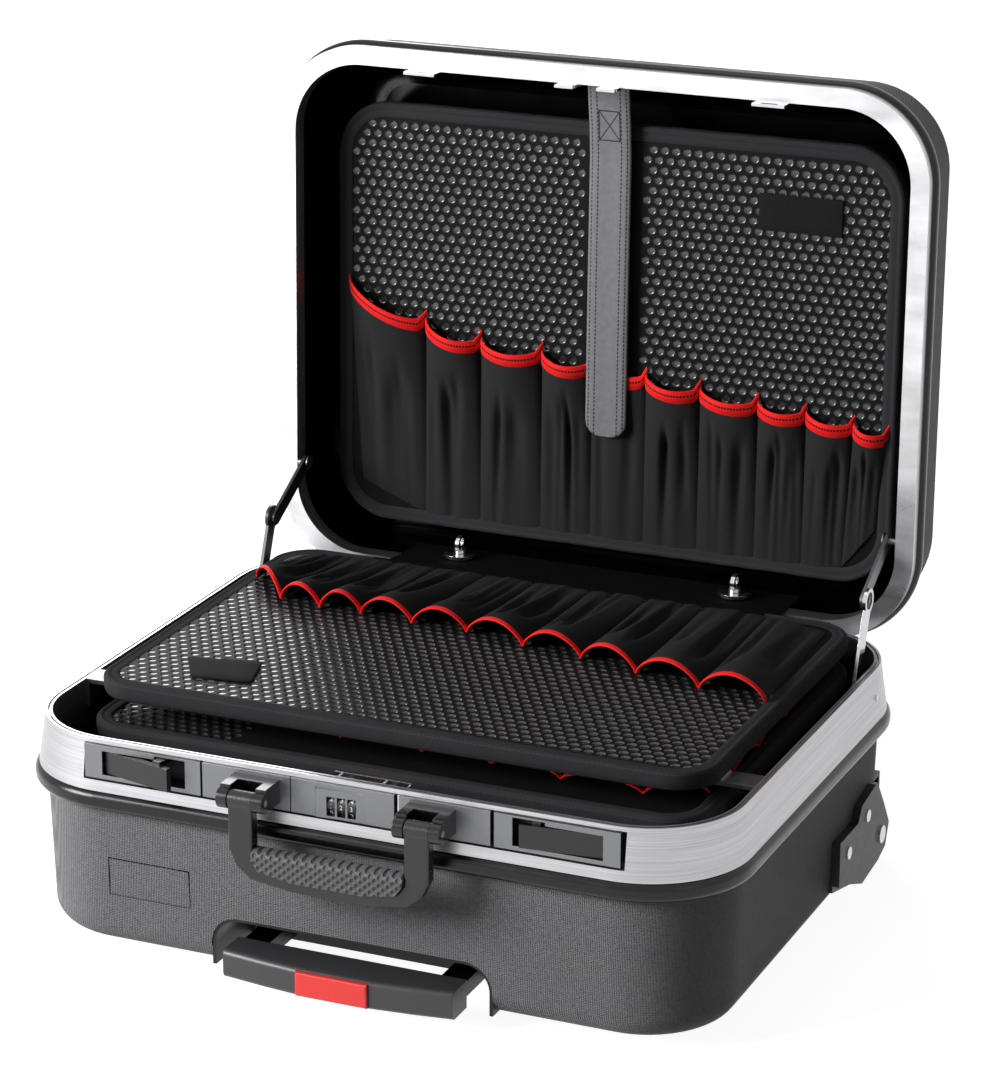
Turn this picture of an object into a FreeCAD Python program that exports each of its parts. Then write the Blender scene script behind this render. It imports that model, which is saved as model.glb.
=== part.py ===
import FreeCAD, Part
import Sketcher
import os

# A hard tool case: moulded base and lid with metal rim frames, a rear hinge, two
# front latches, a three-wheel lock, a carry handle, a pull-out trolley handle and
# two rear wheels. Lengths are in millimetres. While it is drawn, x = 0 is the middle
# of the width, y = 0 the front of the rim frame and z = 0 the top of the base's rim.

doc = FreeCAD.newDocument("ToolCase")
V = FreeCAD.Vector

SIZES = [
    # overall body
    ("frame_width", 500),
    ("frame_depth", 400),
    ("corner_radius", 66),
    ("origin_from_front", 239.99),
    # base rim frame
    ("base_rim_wall", 4.8),
    ("base_band_height", 35.5),
    ("base_band_flare", 5.2),
    ("rim_groove_inset", 1.6),
    ("rim_groove_width", 1.5),
    ("rim_groove_depth", 2),
    # rounded bead under the band
    ("base_bead_height", 13.5),
    ("base_bead_proud", 2.8),
    ("base_bead_round", 5.5),
    # base shell
    ("shell_inset", 0.5),
    ("shell_height", 101),
    ("shell_wall", 3.5),
    ("shell_draft", 1.8),
    ("shell_floor_round", 16),
    ("shell_inner_round", 12),
    ("label_left", 178.5),
    ("label_length", 61.5),
    ("label_top", 85),
    ("label_height", 27.5),
    ("label_groove", 0.9),
    ("label_groove_reach", 3),
    # feet and wheels
    ("foot_height", 11),
    ("foot_width", 44),
    ("foot_depth", 26),
    ("foot_side_inset", 100),
    ("foot_from_front", 75),
    ("tyre_radius", 26),
    ("tyre_width", 26),
    ("hub_radius", 17),
    ("wheel_from_rear", 40),
    ("wheel_side_inset", 42),
    ("wheel_side_gap", 2),
    ("wheel_round_gap", 4),
    ("well_wall", 3),
    ("well_rear_gap", 4),
    ("axle_radius", 4),
    ("axle_head_radius", 6.5),
    ("axle_head_height", 2),
    ("running_gap", 0.05),
    ("cheek_proud", 4),
    ("cheek_from_rear", 147),
    ("cheek_face_depth", 5),
    ("cheek_front_top", 100),
    ("cheek_front_low", 138),
    ("cheek_ledge_back", 39),
    ("cheek_rise_back", 46),
    ("cheek_rise_top", 90),
    ("cheek_peak_back", 77),
    ("cheek_peak_top", 85),
    ("cheek_crown_back", 97),
    ("cheek_crown_top", 92),
    ("cheek_shoulder_back", 114),
    ("cheek_shoulder_top", 114),
    ("cheek_rear_back", 127),
    ("cheek_rear_top", 133),
    ("cheek_heel_back", 120),
    ("cheek_heel_low", 149),
    ("cheek_tail_back", 104),
    ("cheek_tail_low", 154),
    ("cheek_toe_back", 68),
    ("cheek_toe_low", 158),
    ("cheek_sole_back", 39),
    ("cheek_sole_low", 147),
    ("face_rear_back", 85),
    ("face_rear_top", 97),
    ("face_rear_low", 116),
    ("face_turn_back", 75),
    ("face_turn_low", 127),
    ("face_toe_back", 60),
    ("face_toe_low", 132),
    ("face_front_low", 133),
    # front window in the band and its plates
    ("window_left", 192),
    ("window_right", 195),
    ("window_top", 3),
    ("window_bottom", 28),
    ("plate_proud", 3),
    ("plate_top_gap", 0.2),
    ("plate_bottom_gap", 1),
    ("plate_skin", 1.6),
    ("flange_thickness", 2),
    ("flange_lap_top", 1.5),
    ("flange_lap_bottom", 3),
    ("left_end_gap", 1),
    ("right_end_gap", 3),
    ("latch_plate_length", 86.5),
    ("left_seam", 1.5),
    ("right_seam", 2.6),
    ("bracket_plate_length", 64),
    ("lock_seam", 0.7),
    ("lock_slot_width", 3.3),
    # latches
    ("latch_left_middle", 147),
    ("latch_right_middle", 149.2),
    ("recess_half_length", 31),
    ("recess_top", 7),
    ("recess_height", 17),
    ("lever_pivot_out", 27),
    ("lever_pivot_depth", 3.2),
    ("lever_knuckle_radius", 3.1),
    ("lever_pin_radius", 1.5),
    ("lever_sunk", 2),
    ("lever_thickness", 4),
    ("lever_tip_gap", 5),
    ("lever_end_gap", 1),
    ("lever_gap", 0.5),
    ("tray_depth", 12),
    ("tray_back_wall", 1.5),
    ("tray_side_room", 6),
    ("tray_head_room", 2.4),
    ("hook_out", 15),
    ("hook_width", 6),
    ("hook_height", 2.8),
    ("hook_past_keeper", 0.9),
    ("hook_slot_half", 16),
    ("hook_notch_half", 6.5),
    ("hook_neck", 2.5),
    ("left_lever_open", 14.3),
    ("right_lever_open", 5),
    # keepers on the lid
    ("keeper_thickness", 2),
    ("latch_keeper_length", 24),
    ("latch_keeper_drop", 11),
    ("keeper_root", 12),
    ("keeper_window_length", 12),
    ("keeper_window_room", 0.5),
    ("lock_keeper_middle", 4),
    ("lock_keeper_spacing", 32),
    ("lock_keeper_length", 14),
    ("lock_keeper_drop", 9),
    ("keeper_notch_depth", 3),
    ("keeper_notch_height", 2.4),
    ("keeper_notch_low", 2.3),
    # combination lock
    ("lock_wheel_middle", 1.6),
    ("lock_wheel_pitch", 7.3),
    ("lock_wheel_width", 5.4),
    ("lock_wheel_radius", 8),
    ("lock_wheel_proud", 1.2),
    ("lock_wheel_drop", 18),
    ("lock_window_width", 5.8),
    ("lock_window_height", 13.3),
    ("lock_axle_radius", 1.5),
    ("lock_cheek", 2.5),
    ("lock_cheek_depth", 13),
    ("lock_side_gap", 0.8),
    ("lock_wheel_gap", 0.5),
    ("lock_ramp_left", 19.2),
    ("lock_ramp_right", 16),
    ("lock_ramp_proud", 2.4),
    ("lock_ramp_top", 6.5),
    ("lock_ramp_bottom", 26.3),
    ("lock_slit_width", 1.2),
    ("lock_slit_depth", 1.2),
    ("bolt_gap", 0.9),
    ("bolt_thickness", 1.6),
    ("bolt_top", 2),
    ("bolt_height", 5),
    ("bolt_left", 16),
    ("bolt_pin_radius", 0.9),
    ("bolt_pin_clear", 0.3),
    ("bolt_pin_past", 0.4),
    ("bolt_nib_width", 1),
    ("bolt_nib_gap", 0.2),
    ("bolt_nib_sunk", 1),
    ("bolt_nib_bottom", 20),
    ("bolt_shelf_width", 4),
    ("bolt_shelf_left", 9),
    ("bolt_shelf_right", 22),
    ("bolt_shelf_thickness", 1.6),
    ("bolt_shelf_gap", 0.2),
    # carry handle and its brackets
    ("lug_middle", 62.75),
    ("lug_length", 33),
    ("lug_top", 6),
    ("lug_height", 16),
    ("lug_back", 12),
    ("handle_pin_out", 23.5),
    ("handle_pin_drop", 15),
    ("handle_pin_radius", 2.2),
    ("lug_end_radius", 7),
    ("arm_width", 17.5),
    ("arm_side_gap", 0.4),
    ("arm_front", 5.5),
    ("arm_back", 3.5),
    ("arm_top_radius", 6.3),
    ("arm_edge_round", 1.4),
    ("arm_straight", 33),
    ("arm_bend_in", 5.5),
    ("arm_bend_drop", 45),
    ("arm_foot_in", 15.5),
    ("arm_foot_drop", 53),
    ("grip_low_in", 46),
    ("grip_low_drop", 57),
    ("grip_bottom_drop", 57.7),
    ("inner_bend_drop", 38),
    ("inner_foot_in", 5),
    ("inner_foot_drop", 45),
    ("inner_low_in", 29),
    ("inner_low_drop", 49),
    ("inner_bottom_drop", 49.7),
    ("pad_top_drop", 31),
    ("pad_front", 8.5),
    ("pad_back", 5.5),
    ("pad_gap", 0.1),
    ("pad_round", 5),
    # trolley handle
    ("bay_half_width", 102),
    ("bay_height", 36),
    ("bay_depth", 62),
    ("bay_round", 20),
    ("bay_wall", 2.5),
    ("tube_offset", 72),
    ("tube_rise", 14),
    ("outer_tube_width", 24),
    ("outer_tube_height", 16),
    ("tube_wall", 1.2),
    ("tube_gap", 0.1),
    ("tube_rear_gap", 23),
    ("mid_tube_lead", 2),
    ("mid_tube_end_gap", 27),
    ("inner_tube_end_gap", 32),
    ("grip_half_length", 83),
    ("grip_back", 5),
    ("grip_end_front", 18),
    ("grip_bend", 55),
    ("grip_bend_front", 22),
    ("grip_front", 25),
    ("grip_rise", 22.5),
    ("grip_height", 20),
    ("grip_round", 4),
    ("button_half_length", 26),
    ("button_gap", 0.3),
    ("button_proud", 2),
    ("button_depth", 12),
    ("button_travel", 4),
    ("button_edge", 1.6),
    ("button_round", 1.2),
    # floor over the trolley gear, and dividers
    ("liner_rise", 55),
    ("liner_thickness", 3),
    ("liner_side_gap", 8),
    ("liner_radius", 56),
    ("rib_offset", 106),
    ("rib_thickness", 3),
    ("rib_start", 26),
    ("saddle_thickness", 5),
    ("front_saddle", 150),
    ("rear_saddle_back", 50),
    ("divider_thickness", 3),
    ("divider_side_gap", 28),
    ("divider_column", 84),
    ("divider_front", 60),
    ("divider_rear_gap", 34),
    # tool boards in the base
    ("board_side_gap", 22.2),
    ("board_thickness", 10),
    ("board_radius", 30),
    ("mid_board_top", 12.5),
    ("mid_board_front", 62),
    ("mid_board_rear_gap", 27),
    ("low_board_top", 15),
    ("low_board_front", 50),
    ("low_board_rear_gap", 26),
    ("board_rod_gap", 5),
    ("board_rod_radius", 2),
    ("board_loop_wall", 1.5),
    ("board_loop_length", 40),
    ("board_loop_inset", 47),
    ("rod_arm_past", 13),
    ("rod_arm_thickness", 3),
    ("rod_arm_head", 3.4),
    ("rod_arm_low", 20),
    ("rod_arm_foot", 6),
    ("rest_from_front", 96),
    ("rest_width", 20),
    ("rest_reach", 33),
    ("rest_thickness", 3),
    ("rest_pad_length", 10),
    ("rest_tab_drop", 20),
    ("mid_pocket_height", 8),
    ("mid_pocket_side_gap", 4),
    ("mid_pocket_left_reach", 85),
    ("mid_pocket_middle_reach", 121),
    ("mid_pocket_right_reach", 167),
    ("mid_pocket_back_gap", 10),
    ("mid_pocket_middle_x", 25),
    ("low_pocket_height", 9),
    ("low_pocket_left", 150),
    ("low_pocket_middle", 112),
    ("low_pocket_right", 100),
    ("low_pocket_start", 120),
    # lid
    ("hinge_from_rear", 1.5),
    ("hinge_drop", 9.8),
    ("rim_gap", 1),
    ("lid_open_angle", 91.24),
    ("lid_rim_wall", 13.5),
    ("lid_rim_height", 8),
    ("lid_lip_wall", 3),
    ("lid_lip_height", 6),
    ("lid_bead_height", 12),
    ("lid_bead_proud", 3),
    ("lid_bead_wall", 7),
    ("lid_bead_round", 5.5),
    ("lid_depth", 95),
    ("lid_draft", 8),
    ("lid_shell_wall", 3),
    ("lid_back_round", 38),
    ("lid_inner_round", 35),
    ("lid_shell_proud", 1),
    # hinge
    ("knuckle_radius", 3),
    ("hinge_pin_radius", 1.5),
    ("hinge_end_gap", 2),
    ("hinge_leaf", 1.5),
    ("base_leaf_bottom", 30),
    ("base_leaf_top", 8),
    ("base_web_bottom", 11.5),
    ("hinge_window_drop", 16),
    ("hinge_window_gap", 2),
    ("knuckle_gap", 0.5),
    ("lid_leaf_low", 3.5),
    ("lid_leaf_high", 16.8),
    ("lid_web_low", 1.3),
    # lid board
    ("lid_board_face", 44),
    ("lid_board_thickness", 8),
    ("lid_board_side_gap", 30),
    ("lid_board_low", 30),
    ("lid_board_top_gap", 49),
    ("lid_board_radius", 40),
    ("lid_pocket_depth", 8),
    ("lid_pocket_side_gap", 2),
    ("lid_pocket_left_top", 216),
    ("lid_pocket_middle_top", 178),
    ("lid_pocket_right_top", 147),
    ("lid_pocket_middle_x", 54),
    ("lid_pocket_corner", 30),
    ("post_radius", 5),
    ("post_offset", 160),
    ("post_low", 90),
    ("post_top_gap", 110),
    ("strap_half_width", 16),
    ("strap_thickness", 2),
    ("strap_bottom", 119),
    ("strap_bend_gap", 70),
    ("strap_gap", 0.5),
    ("strap_top_depth", 27),
    ("strap_top_gap", 4.3),
    # flap and turn studs
    ("flap_half_width", 154),
    ("flap_thickness", 1.2),
    ("flap_front_gap", 40),
    ("flap_fall_gap", 8),
    ("flap_fall_z", 9),
    ("flap_low_past", 14),
    ("flap_low_z", 2.4),
    ("flap_back_past", 52),
    ("flap_back_z", 0.5),
    ("stud_offset", 110),
    ("stud_depth", 20),
    ("stud_disc_radius", 12.5),
    ("stud_disc_height", 2.5),
    ("stud_shank_radius", 5),
    ("stud_rise", 15.8),
    ("stud_hole_gap", 1),
    ("stud_pin_radius", 2),
    ("stud_pin_height", 6),
    ("tab_radius", 6.5),
    ("tab_thickness", 3),
    ("tab_hole_radius", 3),
    ("tab_foot_radius", 4.5),
    ("tab_foot_height", 3),
    ("tab_gap", 0.3),
    # lid stays
    ("stay_side_inset", 21),
    ("stay_thickness", 2.4),
    ("stay_gap", 1),
    ("stay_half_width", 5.5),
    ("stay_base_pivot_back", 65.5),
    ("stay_base_pivot_drop", 28),
    ("stay_elbow_back", 39),
    ("stay_elbow_z", 39),
    ("stay_lid_pivot_past", 13),
    ("stay_lid_pivot_z", 67),
    ("stay_pin_radius", 2.5),
    ("stay_elbow_pin_radius", 1.8),
    ("stay_elbow_slack", 4.4),
    ("stay_elbow_eye", 9),
    ("stay_rivet_radius", 7.5),
    ("stay_rivet_height", 0.8),
    ("stay_plate_thickness", 2),
    ("stay_plate_half", 12),
    # rivets
    ("rivet_radius", 2.2),
    ("rivet_height", 0.9),
    ("rim_rivet_back", 73),
    ("rim_rivet_drop", 19),
    ("cheek_rivet_radius", 4.5),
    ("cheek_rivet_height", 1.2),
    ("cheek_rivet_shank", 2.5),
    ("cheek_rivet_reach", 4),
    ("cheek_rivet_front_back", 18),
    ("cheek_rivet_front_drop", 113.8),
    ("cheek_rivet_top_back", 59),
    ("cheek_rivet_top_drop", 101.7),
]

sheet = doc.addObject("Spreadsheet::Sheet", "Sizes")
for row, (alias, amount) in enumerate(SIZES, 1):
    sheet.set("A%d" % row, alias)
    sheet.set("B%d" % row, str(amount))
    sheet.setAlias("B%d" % row, alias)
doc.recompute()


class Size:
    # A length with the expression that gives it, so that each drawn length stays
    # bound to the sheet.
    def __init__(self, value, text):
        self.value = float(value)
        self.text = text

    def __add__(self, other):
        other = size_of(other)
        return Size(self.value + other.value, "(%s + %s)" % (self.text, other.text))

    def __radd__(self, other):
        return size_of(other) + self

    def __sub__(self, other):
        other = size_of(other)
        return Size(self.value - other.value, "(%s - %s)" % (self.text, other.text))

    def __rsub__(self, other):
        return size_of(other) - self

    def __mul__(self, other):
        other = size_of(other)
        return Size(self.value * other.value, "(%s * %s)" % (self.text, other.text))

    def __rmul__(self, other):
        return size_of(other) * self

    def __truediv__(self, other):
        other = size_of(other)
        return Size(self.value / other.value, "(%s / %s)" % (self.text, other.text))

    def __neg__(self):
        return Size(-self.value, "(-%s)" % self.text)


def size_of(item):
    if isinstance(item, Size):
        return item
    return Size(item, "(%r)" % item if item < 0 else "%r" % item)


class Table:
    pass


s = Table()
for alias, amount in SIZES:
    setattr(s, alias, Size(amount, "Sizes." + alias))


def bind(item, prop, size):
    size = size_of(size)
    if size.text != "0":
        item.setExpression(prop, size.text)


def place(item, x, y, z):
    for letter, size in (("x", x), ("y", y), ("z", z)):
        bind(item, "Placement.Base." + letter, size)


def box(name, xs, ys, zs):
    item = doc.addObject("Part::Box", name)
    for prop, ends in (("Length", xs), ("Width", ys), ("Height", zs)):
        bind(item, prop, size_of(ends[1]) - ends[0])
    place(item, xs[0], ys[0], zs[0])
    return item


def rod(name, radius, axis, ends, centre):
    # A round bar along one axis, from end to end, with its axis through centre.
    item = doc.addObject("Part::Cylinder", name)
    bind(item, "Radius", radius)
    bind(item, "Height", size_of(ends[1]) - ends[0])
    if axis == "X":
        item.Placement = FreeCAD.Placement(V(), FreeCAD.Rotation(V(0, 1, 0), 90))
        place(item, ends[0], centre[0], centre[1])
    elif axis == "Y":
        item.Placement = FreeCAD.Placement(V(), FreeCAD.Rotation(V(1, 0, 0), -90))
        place(item, centre[0], ends[0], centre[1])
    else:
        place(item, centre[0], centre[1], ends[0])
    return item


def fuse(name, *items):
    item = doc.addObject("Part::MultiFuse", name)
    item.Shapes = list(items)
    item.Refine = True
    return item


def cut(name, base, *tools):
    for number, tool in enumerate(tools):
        item = doc.addObject("Part::Cut", "%s_%d" % (name, number))
        item.Base = base
        item.Tool = tool
        base = item
    return base


def common(name, *items):
    item = doc.addObject("Part::MultiCommon", name)
    item.Shapes = list(items)
    return item


def new_body(name):
    return doc.addObject("PartDesign::Body", name)


def new_sketch(body, name, role, offset=0, x=0, y=0):
    sketch = body.newObject("Sketcher::SketchObject", name)
    planes = [f for f in body.Origin.OriginFeatures if f.Role == role]
    sketch.AttachmentSupport = [(planes[0], "")]
    sketch.MapMode = "FlatFace"
    bind(sketch, "AttachmentOffset.Base.x", x)
    bind(sketch, "AttachmentOffset.Base.y", y)
    bind(sketch, "AttachmentOffset.Base.z", offset)
    return sketch


def hold(sketch, first, end, kind, size):
    size = size_of(size)
    if abs(size.value) < 0.000001:
        axis = -2 if kind == "DistanceX" else -1
        sketch.addConstraint(Sketcher.Constraint("PointOnObject", first, end, axis))
        return
    rule = Sketcher.Constraint(kind, -1, 1, first, end, size.value)
    number = sketch.addConstraint(rule)
    sketch.setExpression("Constraints[%d]" % number, size.text)


def polygon(sketch, points):
    spots = [V(size_of(a).value, size_of(b).value, 0) for a, b in points]
    count = len(spots)
    first = sketch.GeometryCount
    for number in range(count):
        line = Part.LineSegment(spots[number], spots[(number + 1) % count])
        sketch.addGeometry(line, False)
    for number in range(count):
        after = first + (number + 1) % count
        rule = Sketcher.Constraint("Coincident", first + number, 2, after, 1)
        sketch.addConstraint(rule)
    for number, (a, b) in enumerate(points):
        hold(sketch, first + number, 1, "DistanceX", a)
        hold(sketch, first + number, 1, "DistanceY", b)


def rounded(sketch, width, depth, radius):
    # A rounded rectangle about the sketch's own origin.
    a, b, r = size_of(width).value / 2, size_of(depth).value / 2, size_of(radius).value
    first = sketch.GeometryCount
    up = V(0, 0, 1)
    corners = [(a - r, r - b, -90), (a - r, b - r, 0), (r - a, b - r, 90)]
    corners.append((r - a, r - b, 180))
    lines = [(r - a, -b, a - r, -b), (a, r - b, a, b - r), (a - r, b, r - a, b)]
    lines.append((-a, b - r, -a, r - b))
    for line, corner in zip(lines, corners):
        ends = V(line[0], line[1], 0), V(line[2], line[3], 0)
        sketch.addGeometry(Part.LineSegment(*ends), False)
        ring = Part.Circle(V(corner[0], corner[1], 0), up, r)
        start = FreeCAD.Units.Quantity("%d deg" % corner[2]).getValueAs("rad").Value
        end = FreeCAD.Units.Quantity("%d deg" % (corner[2] + 90)).getValueAs("rad").Value
        sketch.addGeometry(Part.ArcOfCircle(ring, start, end), False)
    for number in range(4):
        line, arc = first + 2 * number, first + 2 * number + 1
        after = first + (2 * number + 2) % 8
        sketch.addConstraint(Sketcher.Constraint("Tangent", line, 2, arc, 1))
        sketch.addConstraint(Sketcher.Constraint("Tangent", arc, 2, after, 1))
        kind = "Vertical" if number % 2 else "Horizontal"
        sketch.addConstraint(Sketcher.Constraint(kind, line))
    for number in range(1, 4):
        arcs = first + 1, first + 1 + 2 * number
        sketch.addConstraint(Sketcher.Constraint("Equal", *arcs))
    hold(sketch, first, 1, "DistanceY", -(size_of(depth) / 2))
    hold(sketch, first + 2, 1, "DistanceX", size_of(width) / 2)
    hold(sketch, first + 4, 1, "DistanceY", size_of(depth) / 2)
    hold(sketch, first + 6, 1, "DistanceX", -(size_of(width) / 2))
    rule = Sketcher.Constraint("Radius", first + 1, r)
    number = sketch.addConstraint(rule)
    sketch.setExpression("Constraints[%d]" % number, size_of(radius).text)


def pad(body, name, sketch, length, down=False, taper=None):
    item = body.newObject("PartDesign::Pad", name)
    item.Profile = (sketch, [""])
    bind(item, "Length", length)
    item.Reversed = down
    if taper is not None:
        bind(item, "TaperAngle", taper)
    body.Tip = item
    return item


def pocket(body, name, sketch, length, up=False, taper=None):
    item = body.newObject("PartDesign::Pocket", name)
    item.Profile = (sketch, [""])
    bind(item, "Length", length)
    item.Reversed = up
    if taper is not None:
        bind(item, "TaperAngle", taper)
    body.Tip = item
    return item


def fillet(body, name, radius, wanted):
    doc.recompute()
    base = body.Tip
    names = []
    for number, edge in enumerate(base.Shape.Edges, 1):
        if wanted(edge):
            names.append("Edge%d" % number)
    item = body.newObject("PartDesign::Fillet", name)
    item.Base = (base, names)
    bind(item, "Radius", radius)
    body.Tip = item
    return item


def at_height(size):
    # Picks the edges that lie in one level plane.
    level = size_of(size).value

    def wanted(edge):
        edges = edge.BoundBox
        return abs(edges.ZMin - level) < 0.01 and abs(edges.ZMax - level) < 0.01

    return wanted


def slab(name, role, points, ends):
    # A flat piece with a many-sided outline, drawn on one origin plane. On the XZ
    # plane the outline's normal points to -y.
    body = new_body(name)
    sketch = new_sketch(body, name + "_outline", role, offset=ends[0])
    polygon(sketch, points)
    pad(body, name + "_pad", sketch, size_of(ends[1]) - ends[0])
    return body


NODES = []


def node(label, item, moves="base"):
    # The finished sub-part, moved from the drawing position to the part's frame: the
    # floor is z = 0 and the part's middle is x = y = 0.
    whole = doc.addObject("Part::Compound", label)
    whole.Label = label
    whole.Links = [item]
    if moves == "lid":
        turn = FreeCAD.Rotation(V(-1, 0, 0), 90)
        whole.Placement = FreeCAD.Placement(V(), turn)
        whole.setExpression("Placement.Rotation.Angle", s.lid_open_angle.text)
        place(whole, 0, hinge_y - s.origin_from_front, rest_height + hinge_z)
    else:
        whole.Placement = FreeCAD.Placement(V(), FreeCAD.Rotation())
        place(whole, 0, -s.origin_from_front, rest_height)
    NODES.append(whole)
    return whole


# Lengths that follow from the sheet.

middle_y = s.frame_depth / 2
band_bottom = -s.base_band_height
bead_out = s.base_band_flare + s.base_bead_proud
shell_top = band_bottom - s.base_bead_height
shell_bottom = shell_top - s.shell_height
rest_height = s.base_band_height + s.base_bead_height + s.shell_height + s.foot_height
hinge_y = s.frame_depth - s.hinge_from_rear
hinge_z = -s.hinge_drop
tube_drop = -(shell_bottom + s.tube_rise)
grip_top = -(shell_bottom + s.grip_rise)
bay_top = -(shell_bottom + s.bay_height)
liner_top = -(shell_bottom + s.liner_rise)
wall_x = s.frame_width / 2 - s.base_rim_wall
wheel_inner_side = s.frame_width / 2 - s.wheel_side_inset
wheel_y = s.frame_depth - s.wheel_from_rear
cheek_front = s.frame_depth - s.cheek_from_rear
board_half_width = wall_x - s.board_side_gap
mid_board_back = s.frame_depth - s.mid_board_rear_gap
low_board_back = s.frame_depth - s.low_board_rear_gap
board_rod_half = s.frame_width / 2 - s.corner_radius + s.rod_arm_past
lid_board_half_width = s.frame_width / 2 - s.lid_board_side_gap
lid_board_high = s.frame_depth - s.lid_board_top_gap
flap_front = s.frame_depth - s.flap_front_gap


# Base rim frame.

body = new_body("base_frame_body")
sketch = new_sketch(body, "base_frame_outline", "XY_Plane", y=middle_y)
rounded(sketch, s.frame_width, s.frame_depth, s.corner_radius)
item = pad(body, "base_frame_pad", sketch, s.base_band_height, down=True)
item.setExpression("TaperAngle", "atan(Sizes.base_band_flare / Sizes.base_band_height)")
sketch = new_sketch(body, "base_frame_inside", "XY_Plane", y=middle_y)
rounded(
    sketch,
    s.frame_width - 2 * s.base_rim_wall,
    s.frame_depth - 2 * s.base_rim_wall,
    s.corner_radius - s.base_rim_wall,
)
pocket(body, "base_frame_hollow", sketch, s.base_band_height)
sketch = new_sketch(body, "rim_groove_outline", "XY_Plane", y=middle_y)
for inset in (s.rim_groove_inset, s.rim_groove_inset + s.rim_groove_width):
    rounded(
        sketch,
        s.frame_width - 2 * inset,
        s.frame_depth - 2 * inset,
        s.corner_radius - inset,
    )
pocket(body, "rim_groove", sketch, s.rim_groove_depth)
window = box(
    "front_window",
    (-s.window_left, s.window_right),
    (-s.base_rim_wall, 2 * s.base_rim_wall),
    (-s.window_bottom, -s.window_top),
)
hinge_half = s.frame_width / 2 - s.corner_radius - s.hinge_end_gap
notch = box(
    "hinge_window",
    (-hinge_half - s.hinge_window_gap, hinge_half + s.hinge_window_gap),
    (s.frame_depth - 2 * s.base_rim_wall, s.frame_depth + 2 * s.base_band_flare),
    (-s.hinge_window_drop, s.rim_gap),
)
rim_rivet_end = (
    s.frame_width / 2
    + s.base_band_flare * s.rim_rivet_drop / s.base_band_height
    + s.rivet_height
)
rim_rivet_holes = []
rim_rivets = []
for word, sign in (("left", -1), ("right", 1)):
    xs = sorted([sign * wall_x, sign * rim_rivet_end], key=lambda size: size.value)
    spot = (s.frame_depth - s.rim_rivet_back, -s.rim_rivet_drop)
    rim_rivet_holes.append(rod("rim_rivet_hole_" + word, s.rivet_radius, "X", xs, spot))
    rim_rivets.append(rod("rim_rivet_" + word, s.rivet_radius, "X", xs, spot))
base_frame = cut("base_frame_cut", body, window, notch, *rim_rivet_holes)
node("base_frame", base_frame)


# Rounded bead between the frame and the shell.

body = new_body("base_bead_body")
sketch = new_sketch(body, "base_bead_outline", "XY_Plane", band_bottom, y=middle_y)
rounded(
    sketch,
    s.frame_width + 2 * bead_out,
    s.frame_depth + 2 * bead_out,
    s.corner_radius + bead_out,
)
pad(body, "base_bead_pad", sketch, s.base_bead_height, down=True)
fillet(body, "base_bead_top_round", s.base_bead_round, at_height(band_bottom))
fillet(body, "base_bead_low_round", s.base_bead_round, at_height(shell_top))
sketch = new_sketch(body, "base_bead_inside", "XY_Plane", band_bottom, y=middle_y)
rounded(
    sketch,
    s.frame_width - 2 * s.base_rim_wall,
    s.frame_depth - 2 * s.base_rim_wall,
    s.corner_radius - s.base_rim_wall,
)
pocket(body, "base_bead_hollow", sketch, s.base_bead_height)
node("base_bead", body)


# Base shell.

block = new_body("shell_block")
sketch = new_sketch(block, "shell_outline", "XY_Plane", shell_top, y=middle_y)
rounded(
    sketch,
    s.frame_width - 2 * s.shell_inset,
    s.frame_depth - 2 * s.shell_inset,
    s.corner_radius - s.shell_inset,
)
pad(block, "shell_pad", sketch, s.shell_height, down=True, taper=-s.shell_draft)
fillet(block, "shell_low_round", s.shell_floor_round, at_height(shell_bottom))
core = new_body("shell_core")
sketch = new_sketch(core, "shell_core_outline", "XY_Plane", shell_top, y=middle_y)
inset = s.shell_inset + s.shell_wall
rounded(
    sketch,
    s.frame_width - 2 * inset,
    s.frame_depth - 2 * inset,
    s.corner_radius - inset,
)
core_height = s.shell_height - s.shell_wall
pad(core, "shell_core_pad", sketch, core_height, down=True, taper=-s.shell_draft)
core_bottom = shell_top - core_height
fillet(core, "shell_core_round", s.shell_inner_round, at_height(core_bottom))

bay_cut = new_body("bay_cutter")
sketch = new_sketch(
    bay_cut, "bay_outline", "XZ_Plane", -s.bay_depth, y=-(bay_top + s.bay_depth)
)
rounded(sketch, 2 * s.bay_half_width, 2 * s.bay_depth, s.bay_round)
pad(bay_cut, "bay_pad", sketch, 2 * s.bay_depth)

wheel_z = s.tyre_radius - rest_height
well_side = wheel_inner_side - s.wheel_side_gap - s.well_wall
well_front = wheel_y - s.tyre_radius - s.wheel_round_gap - s.well_wall
well_top = wheel_z + s.tyre_radius + s.wheel_round_gap + s.well_wall
rear = s.frame_depth + 2 * bead_out
corner_cuts = []
for word, sign in (("left", -1), ("right", 1)):
    ends = [sign * well_side, sign * (s.frame_width / 2 + bead_out)]
    if sign < 0:
        ends.reverse()
    corner_cuts.append(
        box("wheel_corner_" + word, ends, (well_front, rear), (-rest_height, well_top))
    )
label_x = (-s.label_left, -s.label_left + s.label_length)
label_z = (-s.label_top - s.label_height, -s.label_top)
reach = (-s.label_groove_reach, s.label_groove_reach)
groove = s.label_groove
grooves = fuse(
    "label_grooves",
    box("label_top_groove", label_x, reach, (label_z[1] - groove, label_z[1])),
    box("label_low_groove", label_x, reach, (label_z[0], label_z[0] + groove)),
    box("label_left_groove", (label_x[0], label_x[0] + groove), reach, label_z),
    box("label_right_groove", (label_x[1] - groove, label_x[1]), reach, label_z),
)
base_shell = cut("base_shell_cut", block, core, bay_cut, *corner_cuts, grooves)
node("base_shell", base_shell)


# Trolley bay moulding: closed above, at the sides and behind, open in front and below.

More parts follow.
